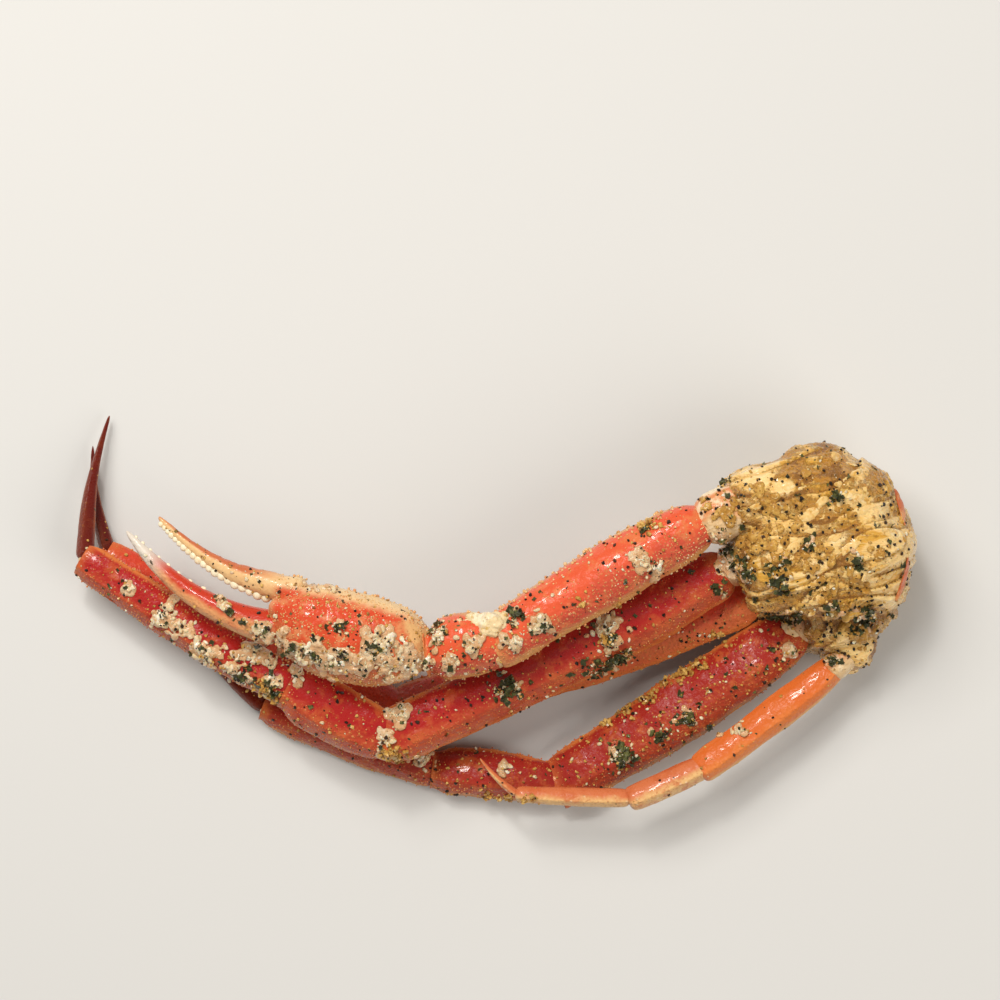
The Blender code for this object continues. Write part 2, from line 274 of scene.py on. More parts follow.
where = inside(inside(mottle, "ADD", inside(lower_facet, "MULTIPLY", 0.36)), "ADD", -0.22)
where = ramp(shell_group, where, 0.38, 0.58)
specks = cell_distance({"Scale": SPECKS_PER_METRE})
specks = inside(ramp(shell_group, specks, 0.42, 0.10), "MULTIPLY", where)
specks = inside(specks, "MULTIPLY", given["Specks"])
dots = cell_distance({"Scale": DOTS_PER_METRE})
dots = inside(inside(ramp(shell_group, dots, 0.26, 0.08), "MULTIPLY", where), "MULTIPLY", given["Specks"])
shell_colour = mix(shell_group, inside(specks, "MULTIPLY", 0.70), shell_colour, given["Upper Keel"])
shell_colour = mix(shell_group, inside(dots, "MULTIPLY", 0.8), shell_colour, given["Pale"])
shell_group.links.new(shell_colour, wanted["Color"])

gloss = inside(inside(grain, "MULTIPLY", 0.30), "ADD", 0.14)
gloss = inside(gloss, "ADD", inside(lower_facet, "MULTIPLY", 0.12))
shell_group.links.new(gloss, wanted["Roughness"])
pebbles = cell_distance({"Scale": PEBBLES_PER_METRE, "Smoothness": 0.6}, feature="SMOOTH_F1")
pebbly = inside(inside(lower_facet, "MULTIPLY", 0.9), "ADD", 0.35)
pebbles = inside(inside(1.0, "SUBTRACT", pebbles), "MULTIPLY", pebbly)
swell = cloudy(shell_group, given["Point"], SWELL_PER_METRE, 3.0, 0.6)
relief = inside(inside(specks, "MULTIPLY", 0.9), "ADD", inside(grain, "MULTIPLY", 0.35))
relief = inside(inside(relief, "ADD", inside(dots, "MULTIPLY", 0.6)), "ADD", inside(pebbles, "MULTIPLY", 1.1))
relief = inside(relief, "ADD", inside(swell, "MULTIPLY", 1.9))
shell_group.links.new(relief, wanted["Height"])


def place_shell_group(tree, place_of, point, colours, specks_amount, butter_amount, facet_at):
    """The shell group in a material, with this shell's colours: deep, bright, both keels and pale."""
    pattern = add_node(tree, "ShaderNodeGroup", node_tree=shell_group)
    tree.links.new(place_of, pattern.inputs["Place"])
    tree.links.new(point, pattern.inputs["Point"])
    for title, value in zip(("Deep", "Bright", "Upper Keel", "Lower Keel", "Pale"), colours):
        pattern.inputs[title].default_value = (*value, 1)
    pattern.inputs["Specks"].default_value = specks_amount
    pattern.inputs["Butter"].default_value = butter_amount
    pattern.inputs["Facet"].default_value = facet_at
    return pattern.outputs


SHELL_BUMP = 0.25 * MM
BUTTER_FILM = {"Specular IOR Level": 0.34, "Coat Weight": 0.38, "Coat Roughness": 0.09}


def finish_shell(tree, shader, colour, pattern, strength):
    """Joins a shell's colour, gloss and granules to its shader, under a film of butter."""
    tree.links.new(colour, shader.inputs["Base Color"])
    tree.links.new(pattern["Roughness"], shader.inputs["Roughness"])
    add_bump(tree, shader, pattern["Height"], SHELL_BUMP, strength)
    set_inputs(shader, BUTTER_FILM)


def shell_material(name, colours, specks_amount, butter_amount, facet_at=0.25, tip=None):
    """Glossy shell. A tip colour whitens the last part of a finger."""
    material = bpy.data.materials.new(name)
    material.use_nodes = True
    tree = material.node_tree
    shader = tree.nodes["Principled BSDF"]
    place_of = add_node(tree, "ShaderNodeAttribute", attribute_name="place").outputs["Vector"]
    point = add_node(tree, "ShaderNodeTexCoord").outputs["Object"]
    pattern = place_shell_group(tree, place_of, point, colours, specks_amount, butter_amount, facet_at)
    colour = pattern["Color"]
    if tip:
        along = add_node(tree, "ShaderNodeSeparateXYZ", {0: place_of}).outputs["X"]
        colour = mix(tree, ramp(tree, along, *tip[0]), colour, (*tip[1], 1))
    finish_shell(tree, shader, colour, pattern, 0.8)
    return material


CRIMSON = (0.35, 0.013, 0.011)
RED = (0.30, 0.018, 0.011)
CORAL = (0.44, 0.070, 0.024)
SALMON = (0.66, 0.090, 0.032)
ORANGE = (0.56, 0.150, 0.035)
PALE_ORANGE = (0.62, 0.29, 0.09)
CREAM = (0.68, 0.42, 0.17)
IVORY = (0.78, 0.62, 0.40)

leg_shell = shell_material("leg_shell", (CRIMSON, CORAL, ORANGE, ORANGE, PALE_ORANGE), 0.8, 0.35)
# Leg 2 lies low, in the shade of the legs above it, so its shell is painted brighter than leg 1's: painted
# bounce light.
bounce_lit_leg_shell = shell_material(
    "bounce_lit_leg_shell", ((0.56, 0.05, 0.022), (0.56, 0.12, 0.04), ORANGE, ORANGE, PALE_ORANGE), 0.8, 0.4
)
far_shell = shell_material(
    "far_leg_shell", (RED, (0.35, 0.042, 0.015), ORANGE, (0.50, 0.20, 0.05), PALE_ORANGE), 0.9, 0.45
)
claw_shell = shell_material(
    "claw_arm_shell", (SALMON, (0.52, 0.07, 0.035), PALE_ORANGE, PALE_ORANGE, CREAM), 0.9, 0.35
)
small_leg_shell = shell_material(
    "small_leg_shell",
    ((0.60, 0.125, 0.022), (0.66, 0.19, 0.042), (0.62, 0.15, 0.035), (0.66, 0.34, 0.10), CREAM),
    0.5, 0.4,
)
small_leg_end_shell = shell_material(
    "small_leg_end_shell",
    ((0.56, 0.15, 0.055), (0.68, 0.40, 0.16), (0.50, 0.11, 0.035), CREAM, IVORY),
    0.6, 0.7, facet_at=-0.05,
)
# The dactyls of legs 1 to 3 are painted much darker than their legs: painted shade, as cast by the
# neighbouring cluster lying over them.
dactyl_shell = shell_material(
    "dactyl_shell",
    ((0.115, 0.009, 0.004), (0.155, 0.020, 0.006), (0.24, 0.050, 0.012), (0.24, 0.060, 0.014),
     (0.30, 0.10, 0.03)),
    0.6, 0.3,
)
moving_finger_shell = shell_material(
    "moving_finger_shell",
    ((0.48, 0.036, 0.014), (0.66, 0.30, 0.12), (0.54, 0.070, 0.022), (0.70, 0.44, 0.20), CREAM),
    0.3, 0.25, facet_at=0.05, tip=((0.66, 0.86), (0.62, 0.54, 0.45)),
)
basis_shell = shell_material(
    "basis_shell",
    ((0.64, 0.22, 0.07), (0.66, 0.44, 0.22), IVORY, (0.64, 0.42, 0.20), CREAM),
    0.5, 0.9, facet_at=-0.1,
)

# %% [markdown]
# The hand is one shell with two finishes: a red palm with a cream rim, and a cream finger with an orange
# outer line. An attribute, finger, says where the palm ends, and the finger's own place is kept beside the
# palm's.

# %% The hand's finish
hand_shell = bpy.data.materials.new("hand_shell")
hand_shell.use_nodes = True
tree = hand_shell.node_tree
shader = tree.nodes["Principled BSDF"]
palm_place = add_node(tree, "ShaderNodeAttribute", attribute_name="place").outputs["Vector"]
finger_place = add_node(tree, "ShaderNodeAttribute", attribute_name="finger_place").outputs["Vector"]
finger_mask = add_node(tree, "ShaderNodeAttribute", attribute_name="finger").outputs["Fac"]
point = add_node(tree, "ShaderNodeTexCoord").outputs["Object"]
palm_look = place_shell_group(
    tree, palm_place, point,
    ((0.58, 0.062, 0.020), (0.54, 0.13, 0.042), CREAM, PALE_ORANGE, IVORY),
    0.8, 0.35, 0.35,
)
finger_look = place_shell_group(
    tree, finger_place, point,
    ((0.62, 0.24, 0.09), (0.72, 0.46, 0.21), (0.50, 0.11, 0.04), IVORY, IVORY),
    0.2, 0.1, -0.5,
)
PALM_RIM = (0.72, 0.50, 0.25, 1)
FINGER_LINE = (0.48, 0.11, 0.038, 1)
parts = add_node(tree, "ShaderNodeSeparateXYZ", {0: palm_place}).outputs
patchy = maths(tree, "MULTIPLY", maths(tree, "SUBTRACT", cloudy(tree, point, 160), 0.5), 0.4)
wrist = ramp(tree, maths(tree, "ADD", parts["X"], patchy), 0.23, 0.10)
palm_colour = mix(tree, maths(tree, "MULTIPLY", wrist, 0.85), palm_look["Color"], (*CREAM, 1))
rim_of_palm = ramp(tree, maths(tree, "ADD", parts["Y"], maths(tree, "MULTIPLY", patchy, 0.6)), -0.66, -0.86)
palm_colour = mix(tree, maths(tree, "MULTIPLY", rim_of_palm, 0.9), palm_colour, PALM_RIM)
finger_parts = add_node(tree, "ShaderNodeSeparateXYZ", {0: finger_place}).outputs
outer_line = ramp(tree, maths(tree, "ADD", finger_parts["Y"], patchy), -0.05, -0.45)
outer_line = maths(tree, "MULTIPLY", outer_line, ramp(tree, finger_parts["X"], 0.16, 0.40))
outer_line = maths(tree, "MULTIPLY", outer_line, ramp(tree, finger_parts["X"], 0.98, 0.80))
finger_colour = mix(tree, maths(tree, "MULTIPLY", outer_line, 0.9), finger_look["Color"], FINGER_LINE)
finish_shell(tree, shader, mix(tree, finger_mask, palm_colour, finger_colour), palm_look, 0.7)

# %% [markdown]
# ## Meat, membrane and toppings
# Crab meat is moist and slightly see-through: cream with fibres, stained ochre where the butter and spice
# soaked in, and painted dark brown in the hollow under the shoulder's lip, which is painted shade. Light goes
# a little way into it, so its shader has a small subsurface weight. The toppings share one soft recipe: a
# first colour, and stains of other colours laid over it at their own sizes.

# %% Soft materials
stain_group, given, wanted = new_group(
    "stain",
    [
        ("Point", DIRECTION, None),
        ("Scale", NUMBER, 100.0),
        ("Low", NUMBER, 0.4),
        ("High", NUMBER, 0.6),
        ("First", COLOUR, None),
        ("Second", COLOUR, None),
    ],
    [("Color", COLOUR), ("Mask", NUMBER)],
)
stain = add_node(
    stain_group,
    "ShaderNodeTexNoise",
    {"Vector": given["Point"], "Scale": given["Scale"], "Detail": 4.0, "Roughness": 0.62},
).outputs["Fac"]
stain_mask = add_node(
    stain_group,
    "ShaderNodeMapRange",
    {0: stain, 1: given["Low"], 2: given["High"]},
    interpolation_type="SMOOTHSTEP",
).outputs[0]
stain_group.links.new(mix(stain_group, stain_mask, given["First"], given["Second"]), wanted["Color"])
stain_group.links.new(stain_mask, wanted["Mask"])


def stained(tree, point, colour, scale, low, high, second):
    """One stain laid over a colour."""
    made = add_node(tree, "ShaderNodeGroup", node_tree=stain_group)
    tree.links.new(point, made.inputs["Point"])
    for title, value in (("Scale", scale), ("Low", low), ("High", high)):
        made.inputs[title].default_value = value
    made.inputs["Second"].default_value = (*second, 1)
    if isinstance(colour, bpy.types.NodeSocket):
        tree.links.new(colour, made.inputs["First"])
    else:
        made.inputs["First"].default_value = (*colour, 1)
    return made.outputs["Color"]


LIGHT_REACH = (1.0, 0.5, 0.25)


def soft_material(name, colour, stains, roughness, bump, bump_scale, soft=0.0, coat=0.2):
    """A moist material, with its tree, its point and its colour, so that more can be laid over it."""
    material = bpy.data.materials.new(name)
    material.use_nodes = True
    tree = material.node_tree
    shader = tree.nodes["Principled BSDF"]
    point = add_node(tree, "ShaderNodeTexCoord").outputs["Object"]
    for scale, low, high, second in stains:
        colour = stained(tree, point, colour, scale, low, high, second)
    tree.links.new(colour, shader.inputs["Base Color"])
    height = cloudy(tree, point, bump_scale, 3.0)
    add_bump(tree, shader, height, bump, 0.9)
    dull = maths(tree, "ADD", maths(tree, "MULTIPLY", height, 0.2), roughness - 0.1)
    tree.links.new(dull, shader.inputs["Roughness"])
    set_inputs(shader, {"Coat Weight": coat, "Coat Roughness": 0.15})
    set_inputs(shader, {"Subsurface Weight": soft, "Subsurface Radius": LIGHT_REACH})
    set_inputs(shader, {"Subsurface Scale": 1.5 * MM})
    return material, tree, point, colour


meat, tree, point, colour = soft_material(
    "shoulder_meat",
    (0.78, 0.475, 0.145),
    [
        (60, 0.46, 0.60, (0.62, 0.32, 0.042)),
        (150, 0.54, 0.70, (0.84, 0.62, 0.31)),
    ],
    0.24, 0.0003, 1100, soft=0.16, coat=0.8,
)
meat.node_tree.nodes["Principled BSDF"].inputs["Coat Roughness"].default_value = 0.07
FIBRE_TILT = math.radians(14)
FIBRE_STRETCH = (0.16, 1, 1)
FIBRES_PER_METRE = 900
GRAINS_PER_METRE = 800
PALE_FIBRE = (0.90, 0.68, 0.33, 1)
DARK_FIBRE = (0.56, 0.27, 0.035, 1)
BARE_MEAT = (0.90, 0.66, 0.31, 1)
SPICED_AND_SHADED_MEAT = (0.50, 0.210, 0.026, 1)
DARK_HOLLOW = (0.21, 0.080, 0.013, 1)


def over_meat(mask, strength, second):
    """The meat's colour so far, with another laid over it where a mask says."""
    return mix(tree, maths(tree, "MULTIPLY", mask, strength), colour, second)


fibre_turn = {"Vector": point, "Rotation": (0, 0, -FIBRE_TILT), "Scale": FIBRE_STRETCH}
streaks = add_node(tree, "ShaderNodeMapping", fibre_turn)
streak = cloudy(tree, streaks.outputs["Vector"], FIBRES_PER_METRE, 3.0, 0.6)
hollow = add_node(tree, "ShaderNodeAttribute", attribute_name="hollow").outputs["Fac"]
grainy = cloudy(tree, point, GRAINS_PER_METRE, 4.0, 0.75)
unsettled = maths(tree, "SUBTRACT", grainy, 0.5)
# The hollow attribute also holds painted shade under the shoulder's lip, so these masks lay the spiced and
# dark hollow colours there as painted shade as well as seasoning.
spice_and_shade_mask = ramp(tree, maths(tree, "ADD", hollow, maths(tree, "MULTIPLY", unsettled, 1.4)), 0.32, 0.68)
deepest_spice_and_shade = ramp(tree, maths(tree, "ADD", hollow, maths(tree, "MULTIPLY", unsettled, 1.2)), 0.70, 0.94)
colour = over_meat(ramp(tree, streak, 0.50, 0.66), 0.5, PALE_FIBRE)
colour = over_meat(ramp(tree, streak, 0.46, 0.34), 0.4, DARK_FIBRE)
colour = over_meat(ramp(tree, hollow, 0.12, 0.0), 0.5, BARE_MEAT)
colour = over_meat(spice_and_shade_mask, 0.74, SPICED_AND_SHADED_MEAT)
colour = over_meat(deepest_spice_and_shade, 0.80, DARK_HOLLOW)
shader = tree.nodes["Principled BSDF"]
tree.links.new(colour, shader.inputs["Base Color"])
rough_height = maths(tree, "ADD", maths(tree, "MULTIPLY", grainy, maths(tree, "ADD", spice_and_shade_mask, 0.3)), streak)
add_bump(tree, shader, rough_height, 0.7 * MM, 1.0)

membrane, *_ = soft_material(
    "joint_membrane",
    (0.70, 0.50, 0.27),
    [
        (260, 0.45, 0.65, (0.64, 0.34, 0.12)),
        (110, 0.58, 0.70, (0.62, 0.14, 0.05)),
        (420, 0.56, 0.68, (0.78, 0.66, 0.46)),
    ],
    0.30, 0.0003, 900, soft=0.10, coat=0.4,
)
white_meat, *_ = soft_material(
    "white_meat",
    (0.74, 0.56, 0.31),
    [(220, 0.48, 0.62, (0.82, 0.71, 0.49)), (500, 0.54, 0.68, (0.60, 0.37, 0.12))],
    0.30, 0.0003, 1100, soft=0.12, coat=0.5,
)
flake_meat, *_ = soft_material(
    "flake_meat",
    (0.75, 0.49, 0.18),
    [(220, 0.52, 0.68, (0.84, 0.63, 0.33)), (500, 0.50, 0.66, (0.60, 0.31, 0.06))],
    0.28, 0.0003, 1100, soft=0.14, coat=0.7,
)
sauce, *_ = soft_material(
    "garlic_butter_sauce",
    (0.58, 0.33, 0.16),
    [
        (300, 0.48, 0.66, (0.68, 0.50, 0.31)),
        (900, 0.56, 0.66, (0.78, 0.63, 0.40)),
        (1300, 0.60, 0.68, (0.16, 0.11, 0.035)),
    ],
    0.24, 0.0003, 1300, soft=0.18, coat=0.7,
)
mush, *_ = soft_material(
    "spice_mush",
    (0.43, 0.21, 0.034),
    [
        (240, 0.46, 0.60, (0.56, 0.32, 0.070)),
        (900, 0.54, 0.64, (0.30, 0.13, 0.022)),
        (600, 0.62, 0.70, (0.76, 0.57, 0.26)),
        (1100, 0.64, 0.71, (0.06, 0.035, 0.010)),
    ],
    0.30, 0.0004, 1200, soft=0.08, coat=0.5,
)
garlic, *_ = soft_material(
    "chopped_garlic",
    (0.66, 0.50, 0.29),
    [(350, 0.44, 0.64, (0.78, 0.69, 0.53)), (800, 0.60, 0.76, (0.50, 0.30, 0.10))],
    0.22, 0.0001, 1600, soft=0.35, coat=1.0,
)
crumb, *_ = soft_material(
    "seasoning_crumbs",
    (0.46, 0.235, 0.045),
    [
        (260, 0.42, 0.58, (0.62, 0.38, 0.10)),
        (700, 0.50, 0.62, (0.24, 0.095, 0.020)),
        (500, 0.62, 0.70, (0.70, 0.54, 0.28)),
    ],
    0.38, 0.0001, 1600, coat=0.35,
)
herb, *_ = soft_material(
    "chopped_herbs",
    (0.032, 0.034, 0.008),
    [(400, 0.48, 0.64, (0.115, 0.115, 0.030)), (700, 0.54, 0.66, (0.014, 0.012, 0.004))],
    0.36, 0.0001, 1500, coat=0.5,
)
pepper, *_ = soft_material(
    "cracked_pepper",
    (0.014, 0.008, 0.005),
    [(500, 0.5, 0.65, (0.05, 0.022, 0.010))],
    0.40, 0.0001, 1800, coat=0.3,
)
tooth_enamel, *_ = soft_material(
    "claw_teeth",
    (0.84, 0.73, 0.52),
    [(500, 0.5, 0.7, (0.74, 0.54, 0.28))],
    0.24, 0.00005, 900,
)
granule_shell, *_ = soft_material(
    "claw_granules",
    (0.64, 0.26, 0.09),
    [(160, 0.40, 0.58, (0.72, 0.44, 0.19)), (420, 0.52, 0.66, (0.76, 0.58, 0.34))],
    0.30, 0.00005, 1500, coat=0.4,
)
leg_granule_shell, *_ = soft_material(
    "leg_granules",
    (0.55, 0.12, 0.032),
    [(160, 0.44, 0.62, (0.62, 0.24, 0.07)), (420, 0.60, 0.72, (0.70, 0.46, 0.22))],
    0.30, 0.00005, 1500, coat=0.4,
)
print("materials:", len(bpy.data.materials))

# %% [markdown]
# ## Shaping tools
# A segment is modelled lying along X: a ring is extruded again and again, and each new ring is resized to
# the width and thickness that the shell has there. The ring isn't round. A leg has a keel on either side,
# so those points are creased, and a soft ridge on top between its two facets. The finished segment is then
# laid between its two joints.

# %% Sizes along a segment
FORM = {
    "basis": (0.95, 1.0, 1.0, 0.90),
    "merus": (0.72, 1.19, 0.93, 0.82),
    "carpus": (0.80, 0.93, 1.14, 0.88),
    "propodus": (0.88, 1.07, 0.92, 0.76),
    "dactyl": (1.00, 0.80, 0.46, 0.12),
    "palm": (0.66, 1.22, 1.10, 0.84),
    "fixed_finger": (1.35, 0.80, 0.62, 0.20),
    "moving_finger": (1.05, 0.44, 0.58, 0.12),
    "lobe": (0.72, 1.18, 1.05, 0.60),
}
LEG_SECTION = [
    (1.00, 0.00), (0.88, 0.34), (0.68, 0.68), (0.40, 1.00),
    (0.02, 0.93), (-0.36, 0.77), (-0.68, 0.51), (-0.90, 0.22),
    (-1.00, 0.00), (-0.90, -0.28), (-0.66, -0.62), (-0.32, -0.88),
    (0.06, -0.97), (0.42, -0.86), (0.70, -0.58), (0.90, -0.27),
]
CLAW_SECTION = [
    (1.00, 0.00), (0.90, 0.40), (0.69, 0.73), (0.38, 0.94),
    (0.00, 1.00), (-0.38, 0.94), (-0.70, 0.72), (-0.91, 0.40),
    (-1.00, 0.00), (-0.91, -0.40), (-0.70, -0.73), (-0.38, -0.94),
    (0.00, -1.00), (0.38, -0.94), (0.70, -0.73), (0.91, -0.40),
]
RIDGE = 3
SIDES = 16
END_ROUNDING = 0.8
LONGEST_CAP = 0.45
SUBDIVIDED_LOSS = 1.03
RIM = [(1.0, 0.90), (0.998, 0.80), (0.985, 0.68), (0.965, 0.50)]
RIM_STARTS = 0.985
RIM_CAP = 0.6
FLARE = 0.05
FLARE_STARTS = 0.84


def share_along(form, t):
    """The width at t, from 0 to 1, as a cubic Bezier curve through the form's four shares."""
    a, b, c, d = form
    s = 1 - t
    return s ** 3 * a + 3 * s * s * t * b + 3 * s * t * t * c + t ** 3 * d


def rounded_end(t, length):
    """Closes both ends of a segment with a quarter circle, each a share of the length."""
    near = min(1.0, min(t, 1 - t) / length)
    return math.sqrt(max(0.0, 1 - (1 - near) ** 2))


def ring_places(rings):
    """Where the rings go along a piece, from 0 to 1, closer together towards both ends."""
    return [(1 - math.cos(math.pi * ring / rings)) / 2 for ring in range(1, rings)]


def end_cap(width, length):
    """How much of a piece's length each rounded end takes."""
    return min(LONGEST_CAP, END_ROUNDING * width / 2 / length)


def round_stations(form, cap, rings):
    """Each ring's place and size, for a piece that is rounded at both ends."""
    return [(t, share_along(form, t) * rounded_end(t, cap)) for t in ring_places(rings)]


def rimmed_stations(form, cap, rings):
    """The same, but cut square at the far end, with a flaring rim and a cup for the next segment."""
    stations = []
    for t in ring_places(rings):
        if t < RIM_STARTS:
            near_end = rounded_end(t, cap if t < 0.5 else cap * RIM_CAP)
            flare = 1 + FLARE * math.sin(math.pi * max(0.0, (t - FLARE_STARTS) / 0.16))
            stations.append((t, share_along(form, t) * near_end * flare))
    last = share_along(form, 1.0)
    return stations + [(t, last * share) for t, share in RIM]


# %% Modelling helpers
def deselect_all():
    bpy.ops.object.select_all(action="DESELECT")


def make_active(obj):
    deselect_all()
    obj.select_set(True)
    bpy.context.view_layer.objects.active = obj


def apply_modifier(obj, modifier):
    make_active(obj)
    bpy.ops.object.modifier_apply(modifier=modifier.name)


def subdivide_smooth(obj, levels):
    smooth = obj.modifiers.new("smooth", "SUBSURF")
    smooth.levels = levels
    smooth.render_levels = levels
    apply_modifier(obj, smooth)


def melt_together(obj, voxel, rounds):
    """Takes the outer skin of overlapping closed tubes, and softens the creases between them."""
    melt = obj.modifiers.new("melt", "REMESH")
    melt.mode = "VOXEL"
    melt.voxel_size = voxel
    apply_modifier(obj, melt)
    soften = obj.modifiers.new("soften", "SMOOTH")
    soften.factor = 0.5
    soften.iterations = rounds
    apply_modifier(obj, soften)


def displace(obj, kind, size, strength, middle=0.5, **settings):
    """Moves the surface in and out by a cloudy or cellular texture of about this size, in metres."""
    texture = bpy.data.textures.new(f"{kind.lower()}_{obj.name}", kind)
    texture.noise_scale = size
    for key, value in settings.items():
        setattr(texture, key, value)
    relief_modifier = obj.modifiers.new("relief", "DISPLACE")
    relief_modifier.texture = texture
    relief_modifier.texture_coords = "LOCAL"
    relief_modifier.strength = strength
    relief_modifier.mid_level = middle
    apply_modifier(obj, relief_modifier)


def lying_between(start, end, roll=0.0):
    """The matrix that lays a piece modelled along X between two points, rolled about its length."""
    forward = (end - start).normalized()
    side = Vector((0, 0, 1)).cross(forward).normalized()
    turn = Matrix.Rotation(math.radians(roll), 3, forward)
    across_axis = turn @ side
    up_axis = turn @ forward.cross(side)
    rows = [[forward[i], across_axis[i], up_axis[i], start[i]] for i in range(3)]
    return Matrix(rows + [[0, 0, 0, 1]])


def points_of(obj):
    """All vertices as rows of a table."""
    points = np.empty(len(obj.data.vertices) * 3, dtype=np.float32)
    obj.data.vertices.foreach_get("co", points)
    return points.reshape(-1, 3)


def keep_vectors(obj, name, rows):
    attribute = obj.data.attributes.new(name, "FLOAT_VECTOR", "POINT")
    attribute.data.foreach_set("vector", rows.astype(np.float32).ravel())


def keep_numbers(obj, name, values):
    attribute = obj.data.attributes.new(name, "FLOAT", "POINT")
    attribute.data.foreach_set("value", values.astype(np.float32))


def place_on(obj, matrix, length, width, thickness, bow, form):
    """For each point, how far along, across and up its own bowed and tapered segment it lies."""
    back = np.array(matrix.inverted())
    local = points_of(obj) @ back[:3, :3].T + back[:3, 3]
    t = np.clip(local[:, 0] / length, 0, 1)
    share = share_along(form, t)
    across = (local[:, 1] - bow * np.sin(np.pi * t)) / (share * width / 2)
    return np.stack([local[:, 0] / length, across, local[:, 2] / (share * thickness / 2)], axis=1)


def extrude_rings(name, stations, length, width, thickness, bow, section, crease, ridge_crease=0.0):
    """A closed tube along X, ring by ring. A station gives a ring's size, and the bow its place."""
    ridge_angle = math.atan2(section[RIDGE][1], section[RIDGE][0])
    deselect_all()
    bpy.ops.mesh.primitive_circle_add(vertices=SIDES, radius=1, rotation=(0, math.pi / 2, 0))
    tube = bpy.context.object
    tube.name = name
    bpy.ops.object.transform_apply(location=False, rotation=True, scale=False)
    bpy.ops.object.mode_set(mode="EDIT")
    bpy.ops.mesh.select_all(action="SELECT")
    shape = bmesh.from_edit_mesh(tube.data)
    for vertex in shape.verts:
        turn = math.atan2(vertex.co.z, vertex.co.y) / (2 * math.pi) * SIDES
        across, up = section[round(turn) % SIDES]
        vertex.co = (0, across * width / 2, up * thickness / 2)
    bmesh.update_edit_mesh(tube.data)
    last_share, last_place = 1.0, Vector((0, 0, 0))
    for index, (t, share) in enumerate(stations):
        share *= SUBDIVIDED_LOSS
        here = Vector((length * t, bow * math.sin(math.pi * t), 0))
        if index == 0:
            bpy.ops.transform.translate(value=here)
        else:
            bpy.ops.mesh.extrude_region_move(TRANSFORM_OT_translate={"value": here - last_place})
        grow = share / last_share
        bpy.ops.transform.resize(value=(1, grow, grow), center_override=here)
        last_share, last_place = share, here
    bpy.ops.mesh.edge_face_add()
    bpy.ops.mesh.select_mode(type="VERT")
    bpy.ops.mesh.select_all(action="DESELECT")
    shape = bmesh.from_edit_mesh(tube.data)
    first_x = length * stations[0][0]
    for vertex in shape.verts:
        vertex.select = abs(vertex.co.x - first_x) < length * 1e-5
    shape.select_flush(True)
    bmesh.update_edit_mesh(tube.data)
    bpy.ops.mesh.edge_face_add()
    bpy.ops.mesh.select_all(action="SELECT")
    bpy.ops.mesh.normals_make_consistent(inside=False)
    shape = bmesh.from_edit_mesh(tube.data)
    creases = shape.edges.layers.float.new("crease_edge")
    flat = thickness * 1e-4
    for line in shape.edges:
        first, second = (vertex.co for vertex in line.verts)
        if abs(first.x - second.x) < length * 1e-4:
            continue
        middle = bow * math.sin(math.pi * first.x / length)
        angle = math.atan2(first.z / thickness, (first.y - middle) / width)
        if abs(first.z) < flat and abs(second.z) < flat:
            line[creases] = crease
        elif abs(angle - ridge_angle) < 0.02:
            line[creases] = ridge_crease
    bmesh.update_edit_mesh(tube.data)
    bpy.ops.object.mode_set(mode="OBJECT")
    return tube


def lay_down(obj, matrix):
    """Moves a modelled piece to its place and applies that place to its mesh."""
    obj.matrix_world = matrix
    make_active(obj)
    bpy.ops.object.transform_apply(location=True, rotation=True, scale=True)


def rest_on_floor(obj):
    """Nothing goes below the ground: what would is pressed flat on it."""
    points = points_of(obj)
    points[:, 2] = np.maximum(points[:, 2], 0.0)
    obj.data.vertices.foreach_set("co", points.ravel())
    obj.data.update()


def finish_piece(obj, material, slot, *nodes):
    """Smooth shading, its finish, its body and the nodes that it replaces. The slot is not used."""
    make_active(obj)
    bpy.ops.object.shade_smooth()
    obj.data.materials.clear()
    obj.data.materials.append(material)
    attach(obj, "root")
    if nodes:
        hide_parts(*nodes)
    return obj


def join_pieces(pieces, name):
    deselect_all()
    for piece in pieces:
        piece.select_set(True)
    bpy.context.view_layer.objects.active = pieces[0]
    bpy.ops.object.join()
    joined = bpy.context.object
    joined.name = name
    return joined


# %% [markdown]
# ## Legs and claw arm
# Every limb has the same five segments. Each starts inside the cup of the one before it, as the shell of a
# real leg does. Long segments get more rings than short ones, so that the unevenness keeps one size.

